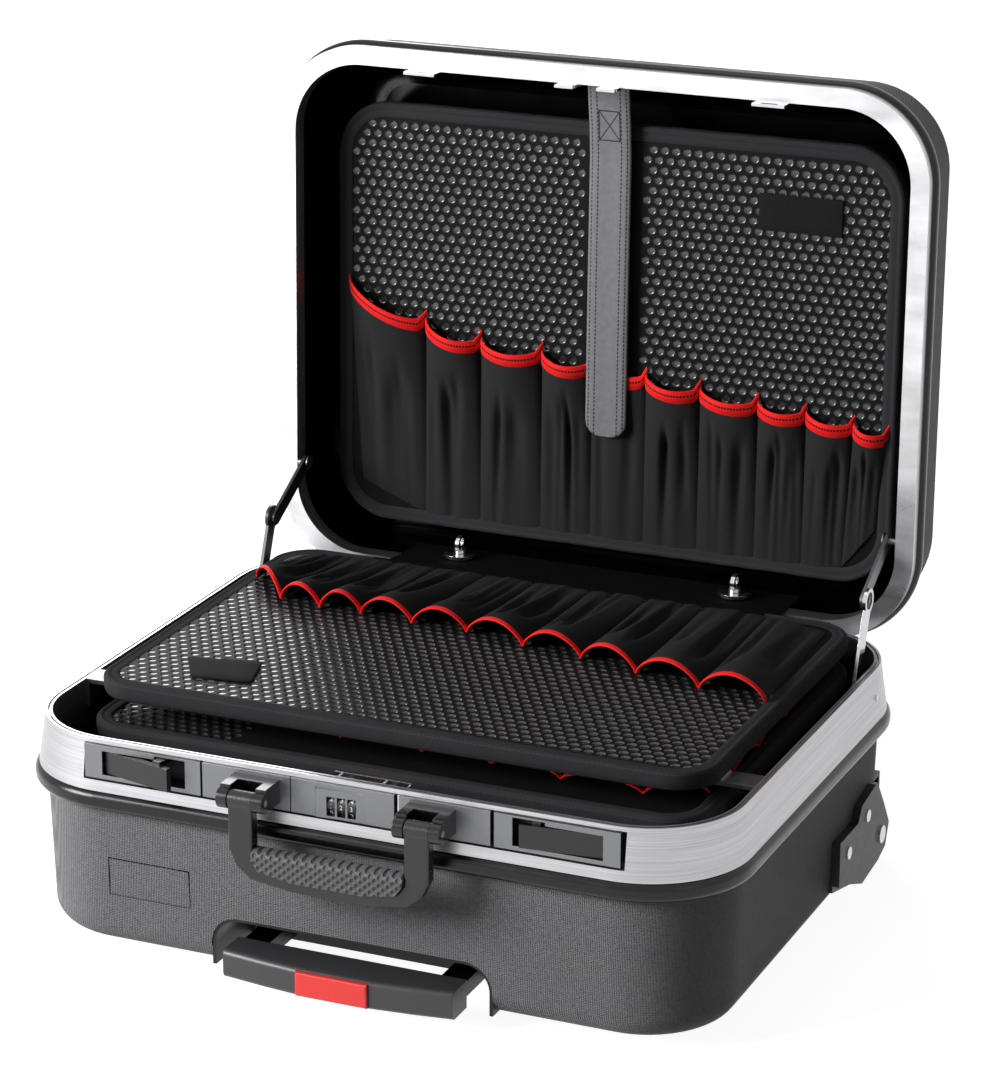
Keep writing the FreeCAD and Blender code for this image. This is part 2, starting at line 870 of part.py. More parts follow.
bay_outer = new_body("bay_outer_body")
sketch = new_sketch(
    bay_outer, "bay_outer_outline", "XZ_Plane", -s.bay_depth, y=-(bay_top + s.bay_depth)
)
rounded(sketch, 2 * s.bay_half_width, 2 * s.bay_depth, s.bay_round)
bay_front = s.shell_inset + s.shell_wall
pad(bay_outer, "bay_outer_pad", sketch, s.bay_depth - bay_front)
bay_inner = new_body("bay_inner_body")
sketch = new_sketch(
    bay_inner,
    "bay_inner_outline",
    "XZ_Plane",
    s.bay_wall - s.bay_depth,
    y=-(bay_top + s.bay_depth),
)
rounded(
    sketch,
    2 * (s.bay_half_width - s.bay_wall),
    2 * (s.bay_depth - s.bay_wall),
    s.bay_round - s.bay_wall,
)
pad(bay_inner, "bay_inner_pad", sketch, s.bay_depth)
below = box(
    "bay_below",
    (-2 * s.bay_half_width, 2 * s.bay_half_width),
    (-s.bay_depth, 2 * s.bay_depth),
    (-(bay_top + 3 * s.bay_depth), shell_bottom),
)
tube_z = -tube_drop
mid_width = s.outer_tube_width - 2 * s.tube_wall - 2 * s.tube_gap
mid_height = s.outer_tube_height - 2 * s.tube_wall - 2 * s.tube_gap
inner_width = mid_width - 2 * s.tube_wall - 2 * s.tube_gap
inner_height = mid_height - 2 * s.tube_wall - 2 * s.tube_gap


def bars(name, width, height, ys):
    # The same rectangular bar on the left and on the right.
    made = []
    for word, sign in (("left", -1), ("right", 1)):
        centre = sign * s.tube_offset
        xs = (centre - width / 2, centre + width / 2)
        zs = (tube_z - height / 2, tube_z + height / 2)
        made.append(box("%s_%s" % (name, word), xs, ys, zs))
    return fuse(name, *made)


holes = bars(
    "bay_tube_holes",
    mid_width + 2 * s.tube_gap,
    mid_height + 2 * s.tube_gap,
    (s.bay_depth / 2, s.bay_depth + s.bay_wall),
)
node("trolley_bay", cut("trolley_bay_cut", bay_outer, bay_inner, below, holes))

outer_y = (s.bay_depth, s.frame_depth - s.tube_rear_gap)
outer = bars("outer_tube_solid", s.outer_tube_width, s.outer_tube_height, outer_y)
outer_bore = bars(
    "outer_tube_bore",
    s.outer_tube_width - 2 * s.tube_wall,
    s.outer_tube_height - 2 * s.tube_wall,
    (outer_y[0] - s.tube_wall, outer_y[1] + s.tube_wall),
)
node("trolley_outer_tubes", cut("trolley_outer_cut", outer, outer_bore))
mid_y = (s.bay_depth - s.mid_tube_lead, outer_y[1] - s.mid_tube_end_gap)
mid = bars("mid_tube_solid", mid_width, mid_height, mid_y)
mid_bore = bars(
    "mid_tube_bore",
    mid_width - 2 * s.tube_wall,
    mid_height - 2 * s.tube_wall,
    (mid_y[0] - s.tube_wall, mid_y[1] + s.tube_wall),
)
node("trolley_mid_tubes", cut("trolley_mid_cut", mid, mid_bore))
inner_y = (s.grip_back, outer_y[1] - s.inner_tube_end_gap)
inner = bars("inner_tube_solid", inner_width, inner_height, inner_y)
inner_bore = bars(
    "inner_tube_bore",
    inner_width - 2 * s.tube_wall,
    inner_height - 2 * s.tube_wall,
    (inner_y[0] - s.tube_wall, inner_y[1] + s.tube_wall),
)
node("trolley_inner_tubes", cut("trolley_inner_cut", inner, inner_bore))

body = new_body("trolley_grip_body")
sketch = new_sketch(
    body, "trolley_grip_outline", "XY_Plane", -(grip_top + s.grip_height)
)
polygon(
    sketch,
    [
        (-s.grip_half_length, s.grip_back),
        (-s.grip_half_length, -s.grip_end_front),
        (-s.grip_bend, -s.grip_bend_front),
        (-s.button_half_length, -s.grip_front),
        (s.button_half_length, -s.grip_front),
        (s.grip_bend, -s.grip_bend_front),
        (s.grip_half_length, -s.grip_end_front),
        (s.grip_half_length, s.grip_back),
    ],
)
pad(body, "trolley_grip_pad", sketch, s.grip_height)


def grip_edge(edge):
    spot = edge.BoundBox
    level = abs(spot.ZMin - spot.ZMax) < 0.01
    return level and spot.YMax < s.grip_back.value - 0.5 and spot.XLength > 1


fillet(body, "trolley_grip_round", s.grip_round, grip_edge)
button_zs = (-(grip_top + s.grip_height) + s.button_edge, -grip_top - s.button_edge)
button_cut = box(
    "button_cut",
    (-s.button_half_length - s.button_gap, s.button_half_length + s.button_gap),
    (
        -s.grip_front - s.button_depth,
        -s.grip_front - s.button_proud + s.button_depth + s.button_travel + s.button_gap,
    ),
    (button_zs[0] - s.button_gap, button_zs[1] + s.button_gap),
)
node("trolley_grip", cut("trolley_grip_cut", body, button_cut))
body = new_body("trolley_button_body")
sketch = new_sketch(body, "button_outline", "XY_Plane", button_zs[0])
button_front = -s.grip_front - s.button_proud
polygon(
    sketch,
    [
        (-s.button_half_length, button_front),
        (s.button_half_length, button_front),
        (s.button_half_length, button_front + s.button_depth),
        (-s.button_half_length, button_front + s.button_depth),
    ],
)
pad(body, "button_pad", sketch, s.grip_height - 2 * s.button_edge)


def button_edge(edge):
    spot = edge.BoundBox
    return spot.YMax < button_front.value + 0.5


fillet(body, "button_round_edges", s.button_round, button_edge)
node("trolley_button", body)


# Floor over the trolley gear, with ribs and saddles for the tubes.

body = new_body("liner_panel_body")
sketch = new_sketch(
    body, "liner_outline", "XY_Plane", -liner_top - s.liner_thickness, y=middle_y
)
rounded(
    sketch,
    s.frame_width - 2 * s.liner_side_gap,
    s.frame_depth - 2 * s.liner_side_gap,
    s.liner_radius,
)
pad(body, "liner_pad", sketch, s.liner_thickness)
rib_z = (core_bottom, -liner_top - s.liner_thickness)
pieces = [body]
for word, sign in (("left", -1), ("right", 1)):
    middle = sign * s.rib_offset
    xs = (middle - s.rib_thickness / 2, middle + s.rib_thickness / 2)
    pieces.append(box("rib_" + word, xs, (s.rib_start, s.frame_depth - s.rib_start), rib_z))
for word, start in (("front", s.front_saddle), ("rear", s.frame_depth - s.rear_saddle_back)):
    xs = (-s.rib_offset, s.rib_offset)
    pieces.append(
        box("saddle_" + word, xs, (start, start + s.saddle_thickness), rib_z)
    )
tube_room = bars("tube_room", s.outer_tube_width, s.outer_tube_height, outer_y)
node("floor_panel", cut("floor_panel_cut", fuse("floor_panel_raw", *pieces), tube_room))

low_board_bottom = -s.low_board_top - s.board_thickness
divider_z = (-liner_top, low_board_bottom)
half = s.divider_thickness / 2
pieces = [
    box(
        "divider_long",
        (s.divider_side_gap - s.frame_width / 2, s.frame_width / 2 - s.divider_side_gap),
        (middle_y - half, middle_y + half),
        divider_z,
    )
]
for word, sign in (("left", -1), ("right", 1)):
    middle = sign * s.divider_column
    xs = (middle - half, middle + half)
    pieces.append(box("divider_" + word, xs, (s.divider_front, s.frame_depth - s.divider_rear_gap), divider_z))
node("dividers", fuse("dividers_all", *pieces))


# Feet, wheel housings, axles and wheels.

pieces = []
for word, sign in (("left", -1), ("right", 1)):
    middle = sign * (s.frame_width / 2 - s.foot_side_inset)
    pieces.append(
        box(
            "foot_" + word,
            (middle - s.foot_width / 2, middle + s.foot_width / 2),
            (s.foot_from_front - s.foot_depth / 2, s.foot_from_front + s.foot_depth / 2),
            (-rest_height, shell_bottom),
        )
    )
node("front_feet", fuse("front_feet_all", *pieces))

wheel_outer_side = wheel_inner_side + s.tyre_width
cheek_inner = wheel_outer_side + s.wheel_side_gap
cheek_outer = s.frame_width / 2 + s.cheek_proud
cheek_face = cheek_outer - s.cheek_face_depth
front_edge = [
    (cheek_front, -s.cheek_front_top),
    (cheek_front + s.cheek_ledge_back, -s.cheek_front_top),
    (cheek_front + s.cheek_rise_back, -s.cheek_rise_top),
    (cheek_front + s.cheek_peak_back, -s.cheek_peak_top),
]
cheek_line = front_edge + [
    (cheek_front + s.cheek_crown_back, -s.cheek_crown_top),
    (cheek_front + s.cheek_shoulder_back, -s.cheek_shoulder_top),
    (cheek_front + s.cheek_rear_back, -s.cheek_rear_top),
    (cheek_front + s.cheek_heel_back, -s.cheek_heel_low),
    (cheek_front + s.cheek_tail_back, -s.cheek_tail_low),
    (cheek_front + s.cheek_toe_back, -s.cheek_toe_low),
    (cheek_front + s.cheek_sole_back, -s.cheek_sole_low),
    (cheek_front, -s.cheek_front_low),
]
face_line = front_edge + [
    (cheek_front + s.face_rear_back, -s.face_rear_top),
    (cheek_front + s.face_rear_back, -s.face_rear_low),
    (cheek_front + s.face_turn_back, -s.face_turn_low),
    (cheek_front + s.face_toe_back, -s.face_toe_low),
    (cheek_front, -s.face_front_low),
]
well_back = s.frame_depth - s.well_rear_gap
housings = []
axles = []
for word, sign in (("left", -1), ("right", 1)):

    def sided(a, b):
        ends = [sign * size_of(a), sign * size_of(b)]
        if sign < 0:
            ends.reverse()
        return ends

    flange = slab(
        "cheek_flange_" + word, "YZ_Plane", cheek_line, sided(cheek_inner, cheek_face)
    )
    flange_out = cut("cheek_flange_cut_" + word, flange, block)
    face = slab(
        "cheek_face_" + word, "YZ_Plane", face_line, sided(cheek_face, cheek_outer)
    )
    cheek_back = box(
        "cheek_region_" + word,
        sided(cheek_inner, cheek_face),
        (well_front, rear),
        (-rest_height, well_top),
    )
    cheek_in = common("cheek_in_" + word, flange, cheek_back)
    well_x = sided(well_side, cheek_inner)
    well = box(
        "well_block_" + word,
        well_x,
        (well_front, well_back),
        (shell_bottom, well_top),
    )
    room = box(
        "well_room_" + word,
        sided(well_side + s.well_wall, cheek_inner),
        (well_front + s.well_wall, well_back - s.well_wall),
        (-2 * rest_height, well_top - s.well_wall),
    )
    tyre_room = rod(
        "tyre_room_" + word,
        s.tyre_radius + s.wheel_round_gap,
        "X",
        sided(well_side + s.well_wall, cheek_inner),
        (wheel_y, wheel_z),
    )
    well_walls = cut("well_walls_" + word, well, room, tyre_room)
    shaft = rod(
        "axle_" + word,
        s.axle_radius,
        "X",
        sided(well_side, cheek_face),
        (wheel_y, wheel_z),
    )
    head = rod(
        "axle_head_" + word,
        s.axle_head_radius,
        "X",
        sided(cheek_face, cheek_face + s.axle_head_height),
        (wheel_y, wheel_z),
    )
    axles.append(fuse("axle_whole_" + word, shaft, head))
    bulk = fuse("housing_bulk_" + word, flange_out, cheek_in, well_walls, face)
    shaft_hole = rod(
        "axle_hole_" + word,
        s.axle_radius,
        "X",
        sided(well_side - s.well_wall, cheek_outer + s.well_wall),
        (wheel_y, wheel_z),
    )
    rivet_holes = []
    for part, back, drop in (
        ("front", s.cheek_rivet_front_back, s.cheek_rivet_front_drop),
        ("top", s.cheek_rivet_top_back, s.cheek_rivet_top_drop),
    ):
        rivet_holes.append(
            rod(
                "cheek_rivet_hole_%s_%s" % (part, word),
                s.cheek_rivet_shank,
                "X",
                sided(cheek_outer - s.cheek_rivet_reach, cheek_outer + s.well_wall),
                (cheek_front + back, -drop),
            )
        )
    housings.append(cut("housing_" + word, bulk, shaft_hole, *rivet_holes))
    hub = rod(
        "hub_disc_" + word,
        s.hub_radius,
        "X",
        sided(wheel_inner_side, wheel_outer_side),
        (wheel_y, wheel_z),
    )
    bore = rod(
        "hub_bore_" + word,
        s.axle_radius + s.running_gap,
        "X",
        sided(wheel_inner_side - s.wheel_side_gap, wheel_outer_side + s.wheel_side_gap),
        (wheel_y, wheel_z),
    )
    node("wheel_hub_" + word, cut("hub_cut_" + word, hub, bore))
    ring = rod(
        "tyre_ring_" + word,
        s.tyre_radius,
        "X",
        sided(wheel_inner_side, wheel_outer_side),
        (wheel_y, wheel_z),
    )
    hub_room = rod(
        "tyre_bore_" + word,
        s.hub_radius,
        "X",
        sided(wheel_inner_side - s.wheel_side_gap, wheel_outer_side + s.wheel_side_gap),
        (wheel_y, wheel_z),
    )
    node("tyre_" + word, cut("tyre_cut_" + word, ring, hub_room))
node("wheel_housings", fuse("wheel_housings_all", *housings))
node("wheel_axles", fuse("wheel_axles_all", *axles))


# Plates in the front window.

plate_y = (-s.plate_proud, s.base_rim_wall)
flange_y = (s.base_rim_wall, s.base_rim_wall + s.flange_thickness)
plate_z = (-s.window_bottom + s.plate_bottom_gap, -s.window_top - s.plate_top_gap)
flange_z = (-s.window_bottom - s.flange_lap_bottom, -s.window_top + s.flange_lap_top)
left_start = -s.window_left + s.left_end_gap
left_end = left_start + s.latch_plate_length
right_end = s.window_right - s.right_end_gap
right_start = right_end - s.latch_plate_length
left_bracket = (left_end + s.left_seam, left_end + s.left_seam + s.bracket_plate_length)
right_bracket = (
    right_start - s.right_seam - s.bracket_plate_length,
    right_start - s.right_seam,
)
lock_x = (left_bracket[1] + s.lock_seam, right_bracket[0] - s.lock_slot_width)


def strip_plate(name, xs):
    front = box(name + "_front", xs, plate_y, plate_z)
    back = box(name + "_back", xs, flange_y, flange_z)
    return fuse(name + "_plate", front, back)


lever_bottom = -s.recess_top - s.recess_height + s.lever_gap
lever_top = -s.recess_top - s.lever_gap
hook_top = -s.recess_top + s.tray_head_room - s.lever_gap
hook_z = (hook_top - s.hook_height, hook_top)
hook_tip = s.lid_rim_wall + s.keeper_thickness + s.hook_past_keeper
tray_y = (s.plate_skin - s.plate_proud, s.tray_depth - s.plate_proud)
lever_front = s.lever_sunk - s.plate_proud
pins = []
for word, sign, middle, xs in (
    ("left", -1, -s.latch_left_middle, (left_start, left_end)),
    ("right", 1, s.latch_right_middle, (right_start, right_end)),
):

    def out(a, b):
        # From the latch's middle: positive runs outwards, to the case's near side.
        ends = [middle + sign * size_of(a), middle + sign * size_of(b)]
        if ends[0].value > ends[1].value:
            ends.reverse()
        return ends

    plate = strip_plate("latch_%s" % word, xs)
    tray = box(
        "latch_tray_" + word,
        out(-s.recess_half_length - s.tray_back_wall, s.recess_half_length + s.tray_side_room),
        (s.base_rim_wall, tray_y[1] + s.tray_back_wall),
        (plate_z[0], -s.window_top - s.plate_top_gap),
    )
    recess = box(
        "latch_recess_" + word,
        out(-s.recess_half_length, s.recess_half_length),
        (-2 * s.plate_proud, s.base_rim_wall),
        (-s.recess_top - s.recess_height, -s.recess_top),
    )
    hollow = box(
        "latch_hollow_" + word,
        out(-s.recess_half_length, s.recess_half_length + s.tray_side_room - s.tray_back_wall),
        tray_y,
        (-s.recess_top - s.recess_height, -s.recess_top + s.tray_head_room),
    )
    slot = box(
        "hook_slot_" + word,
        out(-s.hook_out - s.hook_slot_half, -s.hook_out + s.hook_slot_half),
        (tray_y[1] - s.tray_back_wall, tray_y[1] + 2 * s.tray_back_wall),
        (hook_z[0] - s.lever_gap, -s.recess_top + s.tray_head_room),
    )
    notch = box(
        "hook_notch_" + word,
        out(-s.recess_half_length, s.hook_notch_half - s.hook_out),
        (-2 * s.plate_proud, s.base_rim_wall),
        (-s.recess_top - s.recess_height / 2, -s.recess_top + s.tray_head_room),
    )
    pivot = middle + sign * s.lever_pivot_out
    pivot_spot = (pivot, s.lever_pivot_depth)
    pin_z = (plate_z[0], plate_z[1])
    pin_hole = rod("lever_pin_hole_" + word, s.lever_pin_radius, "Z", pin_z, pivot_spot)
    raw = fuse("latch_raw_" + word, plate, tray)
    node(
        "latch_plate_" + word,
        cut("latch_plate_cut_" + word, raw, recess, hollow, slot, notch, pin_hole),
    )
    pins.append(rod("lever_pin_" + word, s.lever_pin_radius, "Z", pin_z, pivot_spot))
    # The lever is drawn flush about its own pin and stored at its open angle.
    room = s.recess_half_length - s.lever_pivot_out

    def along(a, b):
        ends = [-sign * size_of(a), -sign * size_of(b)]
        if sign > 0:
            ends.reverse()
        return ends

    tip = s.recess_half_length + s.lever_pivot_out - s.lever_tip_gap
    bar_y = (
        lever_front - s.lever_pivot_depth,
        lever_front - s.lever_pivot_depth + s.lever_thickness,
    )
    lever_bar = box(
        "lever_bar_" + word,
        along(-room + s.lever_end_gap, tip),
        bar_y,
        (lever_bottom, lever_top),
    )
    knuckle = rod(
        "lever_knuckle_" + word,
        s.lever_knuckle_radius,
        "Z",
        (lever_bottom, lever_top),
        (0, 0),
    )
    hook_at = s.lever_pivot_out + s.hook_out
    hook_x = along(hook_at - s.hook_width / 2, hook_at + s.hook_width / 2)
    finger = box(
        "hook_finger_" + word,
        hook_x,
        (bar_y[1] - s.lever_thickness / 2, hook_tip - s.lever_pivot_depth),
        hook_z,
    )
    neck = box(
        "hook_neck_" + word,
        hook_x,
        (bar_y[1] - s.lever_thickness / 2, bar_y[1] + s.hook_neck),
        (lever_top - s.lever_thickness, hook_z[1]),
    )
    hole = rod(
        "lever_bore_" + word,
        s.lever_pin_radius + s.running_gap,
        "Z",
        (plate_z[0], s.rim_gap),
        (0, 0),
    )
    whole = fuse("lever_raw_" + word, lever_bar, knuckle, finger, neck)
    lever = cut("lever_cut_" + word, whole, hole)
    turned = doc.addObject("Part::Compound", "lever_turned_" + word)
    turned.Links = [lever]
    turned.Placement = FreeCAD.Placement(V(), FreeCAD.Rotation(V(0, 0, sign), 10))
    angle = s.left_lever_open if sign < 0 else s.right_lever_open
    turned.setExpression("Placement.Rotation.Angle", angle.text)
    place(turned, pivot, s.lever_pivot_depth, 0)
    node("latch_lever_" + word, turned)

node(
    "bracket_plates",
    fuse(
        "bracket_plates_all",
        strip_plate("left_bracket", left_bracket),
        strip_plate("right_bracket", right_bracket),
    ),
)


# Combination lock: housing, wheels on their axle, and the sliding bolt.

wheel_x = -s.lock_wheel_middle
lock_wheel_y = s.lock_wheel_radius - s.plate_proud - s.lock_wheel_proud
lock_spot = (lock_wheel_y, -s.lock_wheel_drop)
row_half = s.lock_wheel_pitch + s.lock_wheel_width / 2 + s.lock_side_gap
cheek_x = (wheel_x - row_half, wheel_x + row_half)
room_z = (
    -s.lock_wheel_drop - s.lock_wheel_radius - s.lock_wheel_gap,
    -s.lock_wheel_drop + s.lock_wheel_radius + s.lock_wheel_gap,
)
ramp = slab(
    "lock_ramp",
    "XY_Plane",
    [
        (-s.lock_ramp_left, -s.plate_proud),
        (-s.lock_ramp_left, -s.plate_proud - s.lock_ramp_proud),
        (s.lock_ramp_right, -s.plate_proud),
    ],
    (-s.lock_ramp_bottom, -s.lock_ramp_top),
)
cheeks = []
for word, xs in (
    ("left", (cheek_x[0] - s.lock_cheek, cheek_x[0])),
    ("right", (cheek_x[1], cheek_x[1] + s.lock_cheek)),
):
    cheeks.append(
        box("lock_cheek_" + word, xs, (s.base_rim_wall, s.lock_cheek_depth), room_z)
    )
keeper_y = (s.lid_rim_wall, s.lid_rim_wall + s.keeper_thickness)
bolt_y = (keeper_y[1] + s.bolt_gap, keeper_y[1] + s.bolt_gap + s.bolt_thickness)
bolt_z = (-s.bolt_top - s.bolt_height, -s.bolt_top)
shelf_z = (
    bolt_z[0] - s.bolt_shelf_gap - s.bolt_shelf_thickness,
    bolt_z[0] - s.bolt_shelf_gap,
)
shelf_end = bolt_y[1] + s.bolt_shelf_gap
shelves = []
for word, start in (("left", -s.bolt_shelf_left), ("right", s.bolt_shelf_right)):
    xs = (start, start + s.bolt_shelf_width)
    shelves.append(
        box(
            "bolt_shelf_" + word,
            xs,
            (s.base_rim_wall, shelf_end + s.bolt_shelf_thickness),
            shelf_z,
        )
    )
    shelves.append(
        box(
            "bolt_lip_" + word,
            xs,
            (shelf_end, shelf_end + s.bolt_shelf_thickness),
            (shelf_z[0], bolt_z[0] + s.bolt_height / 2),
        )
    )
whole = fuse(
    "lock_housing_raw", strip_plate("lock", lock_x), ramp, *cheeks, *shelves
)
tools = [
    box(
        "lock_room",
        cheek_x,
        (s.plate_skin - s.plate_proud, s.lock_cheek_depth),
        room_z,
    ),
    box(
        "lock_slit",
        (-s.lock_ramp_left - s.lock_slit_width, -s.lock_ramp_left),
        (-2 * s.plate_proud, s.lock_slit_depth - s.plate_proud),
        (-s.lock_ramp_bottom, -s.lock_ramp_top),
    ),
    rod(
        "lock_axle_hole",
        s.lock_axle_radius,
        "X",
        (cheek_x[0] - 2 * s.lock_cheek, cheek_x[1] + 2 * s.lock_cheek),
        lock_spot,
    ),
]
window_z = (
    -s.lock_wheel_drop - s.lock_window_height / 2,
    -s.lock_wheel_drop + s.lock_window_height / 2,
)
for number in (-1, 0, 1):
    middle = wheel_x + number * s.lock_wheel_pitch
    tools.append(
        box(
            "lock_window_%d" % (number + 2),
            (middle - s.lock_window_width / 2, middle + s.lock_window_width / 2),
            (-3 * s.plate_proud, s.base_rim_wall),
            window_z,
        )
    )
node("lock_housing", cut("lock_housing_cut", whole, *tools))
node(
    "lock_axle",
    rod(
        "lock_axle_rod",
        s.lock_axle_radius,
        "X",
        (cheek_x[0] - s.lock_cheek, cheek_x[1] + s.lock_cheek),
        lock_spot,
    ),
)
for number in (1, 2, 3):
    middle = wheel_x + (number - 2) * s.lock_wheel_pitch
    half = s.lock_wheel_width / 2
    disc = rod(
        "number_disc_%d" % number,
        s.lock_wheel_radius,
        "X",
        (middle - half, middle + half),
        lock_spot,
    )
    hole = rod(
        "number_bore_%d" % number,
        s.lock_axle_radius + s.running_gap,
        "X",
        (middle - 2 * half, middle + 2 * half),
        lock_spot,
    )
    node("number_wheel_%d" % number, cut("number_wheel_cut_%d" % number, disc, hole))

nib_end = right_bracket[0] - s.bolt_nib_gap
nib_x = (nib_end - s.bolt_nib_width, nib_end)
lock_keepers_x = [
    -s.lock_keeper_middle - s.lock_keeper_spacing / 2,
    -s.lock_keeper_middle + s.lock_keeper_spacing / 2,
]
notch_z = s.rim_gap - s.lock_keeper_drop + s.keeper_notch_low + s.keeper_notch_height / 2
pieces = [
    box("bolt_bar", (-s.bolt_left, nib_x[1]), bolt_y, bolt_z),
    box(
        "bolt_nib",
        nib_x,
        (s.bolt_nib_sunk - s.plate_proud, bolt_y[1]),
        (-s.bolt_nib_bottom, -s.window_top - s.bolt_nib_gap),
    ),
]
for number, middle in enumerate(lock_keepers_x):
    spot_x = (
        middle + s.lock_keeper_length / 2 + s.bolt_pin_clear + s.bolt_pin_radius
    )
    pieces.append(
        rod(
            "bolt_pin_%d" % number,
            s.bolt_pin_radius,
            "Y",
            (keeper_y[0] - s.bolt_pin_past, bolt_y[0]),
            (spot_x, notch_z),
        )
    )
node("lock_bolt", fuse("lock_bolt_all", *pieces))


# Carry handle with its brackets and pins.

handle_y = -s.handle_pin_out
handle_z = -s.handle_pin_drop
brackets = []
for word, sign in (("left", -1), ("right", 1)):
    middle = sign * s.lug_middle
    xs = (middle - s.lug_length / 2, middle + s.lug_length / 2)
    zs = (-s.lug_top - s.lug_height, -s.lug_top)
    base = box("lug_block_" + word, xs, (handle_y, -s.plate_proud), zs)
    nose = rod("lug_nose_" + word, s.lug_end_radius, "X", xs, (handle_y, handle_z))
    gap = s.arm_width / 2 + s.arm_side_gap
    room = box(
        "lug_room_" + word,
        (middle - gap, middle + gap),
        (2 * handle_y, -s.lug_back),
        (-s.window_bottom, s.rim_gap),
    )
    hole = rod("lug_hole_" + word, s.handle_pin_radius, "X", xs, (handle_y, handle_z))
    raw = fuse("lug_raw_" + word, base, nose)
    brackets.append(cut("handle_bracket_" + word, raw, room, hole))
    pins.append(
        rod("handle_pin_" + word, s.handle_pin_radius, "X", xs, (handle_y, handle_z))
    )
node("handle_brackets", fuse("handle_brackets_all", *brackets))
node("pivot_pins", fuse("pivot_pins_all", *pins))

arm_out = s.lug_middle + s.arm_width / 2
arm_in = s.lug_middle - s.arm_width / 2
outer_line = [
    (arm_out, handle_z),
    (arm_out, handle_z - s.arm_straight),
    (arm_out - s.arm_bend_in, handle_z - s.arm_bend_drop),
    (arm_out - s.arm_foot_in, handle_z - s.arm_foot_drop),
    (arm_out - s.grip_low_in, handle_z - s.grip_low_drop),
    (0, handle_z - s.grip_bottom_drop),
]
inner_line = [
    (arm_in, handle_z),
    (arm_in, handle_z - s.inner_bend_drop),
    (arm_in - s.inner_foot_in, handle_z - s.inner_foot_drop),
    (arm_in - s.inner_low_in, handle_z - s.inner_low_drop),
    (0, handle_z - s.inner_bottom_drop),
]


def mirror(points):
    return [(-a, b) for a, b in points]


line = outer_line + mirror(outer_line[:-1])[::-1]
line += mirror(inner_line[:-1]) + inner_line[::-1]
body = new_body("handle_body")
arm_y = (handle_y - s.arm_front, handle_y + s.arm_back)
sketch = new_sketch(body, "handle_outline", "XZ_Plane", -arm_y[1])
polygon(sketch, line)
pad(body, "handle_pad", sketch, s.arm_front + s.arm_back)


def handle_edge(edge):
    spot = edge.BoundBox
    return spot.YLength < 0.01 and spot.ZMin < handle_z.value - 1


fillet(body, "handle_round", s.arm_edge_round, handle_edge)
tops = []
bores = []
for word, sign in (("left", -1), ("right", 1)):
    middle = sign * s.lug_middle
    xs = (middle - s.arm_width / 2, middle + s.arm_width / 2)
    spot = (handle_y, handle_z)
    tops.append(rod("handle_top_" + word, s.arm_top_radius, "X", xs, spot))
    bores.append(
        rod(
            "handle_bore_" + word,
            s.handle_pin_radius + s.running_gap,
            "X",
            (middle - s.arm_width, middle + s.arm_width),
            spot,
        )
    )
node("handle_frame", cut("handle_frame_cut", fuse("handle_raw", body, *tops), *bores))

pad_gap = s.pad_gap
pad_line = [
    (arm_in - pad_gap, handle_z - s.pad_top_drop),
    (arm_in - pad_gap, handle_z - s.inner_bend_drop),
    (arm_in - s.inner_foot_in - pad_gap, handle_z - s.inner_foot_drop + pad_gap),
    (arm_in - s.inner_low_in, handle_z - s.inner_low_drop + pad_gap),
]
line = pad_line + mirror(pad_line)[::-1]
body = new_body("handle_grip_body")
sketch = new_sketch(body, "handle_grip_outline", "XZ_Plane", s.handle_pin_out - s.pad_back)
polygon(sketch, line)
pad(body, "handle_grip_pad", sketch, s.pad_front + s.pad_back)


def pad_edge(edge):
    spot = edge.BoundBox
    return spot.YLength < 0.01 and spot.ZMin > (handle_z - s.pad_top_drop).value - 0.1


fillet(body, "handle_grip_round", s.pad_round, pad_edge)
node("handle_grip", body)


# Hinge. Odd segments carry the base leaf's knuckles, even ones the lid leaf's.

segment = 2 * hinge_half / 9
base_pieces = [
    box(
        "base_leaf",
        (-hinge_half, hinge_half),
        (s.frame_depth - s.base_rim_wall - s.hinge_leaf, s.frame_depth - s.base_rim_wall),
        (-s.base_leaf_bottom, -s.base_leaf_top),
    )
]
lid_rear = s.hinge_from_rear
lid_rim = s.rim_gap + s.hinge_drop
lid_pieces = [
    box(
        "lid_leaf",
        (-hinge_half, hinge_half),
        (lid_rear, lid_rear + s.hinge_leaf),
        (s.lid_leaf_low, s.lid_leaf_high),
    )
]
for number in range(9):
    start = -hinge_half + number * segment
    if number % 2 == 0:
        xs = (start, start + segment)
        barrel = rod(
            "base_barrel_%d" % number, s.knuckle_radius, "X", xs, (hinge_y, hinge_z)
        )
        web = box(
            "base_web_%d" % number,
            xs,
            (s.frame_depth - s.base_rim_wall - s.hinge_leaf, hinge_y),
            (-s.base_web_bottom, -s.base_leaf_top),
        )
        base_pieces += [barrel, web]
    else:
        xs = (start + s.knuckle_gap, start + segment - s.knuckle_gap)
        barrel = rod("lid_barrel_%d" % number, s.knuckle_radius, "X", xs, (0, 0))
        web = box(
            "lid_web_%d" % number,
            xs,
            (0, lid_rear + s.hinge_leaf),
            (s.lid_web_low, s.lid_leaf_low),
        )
        lid_pieces += [barrel, web]
span = (-hinge_half - s.knuckle_gap, hinge_half + s.knuckle_gap)
base_bore = rod("base_hinge_bore", s.hinge_pin_radius, "X", span, (hinge_y, hinge_z))
lid_bore = rod(
    "lid_hinge_bore", s.hinge_pin_radius + s.running_gap, "X", span, (0, 0)
)
node("hinge_leaf_base", cut("hinge_base_cut", fuse("hinge_base_raw", *base_pieces), base_bore))
node(
    "hinge_leaf_lid",
    cut("hinge_lid_cut", fuse("hinge_lid_raw", *lid_pieces), lid_bore),
    "lid",
)
node(
    "hinge_pin",
    rod("hinge_pin_rod", s.hinge_pin_radius, "X", (-hinge_half, hinge_half), (hinge_y, hinge_z)),
)


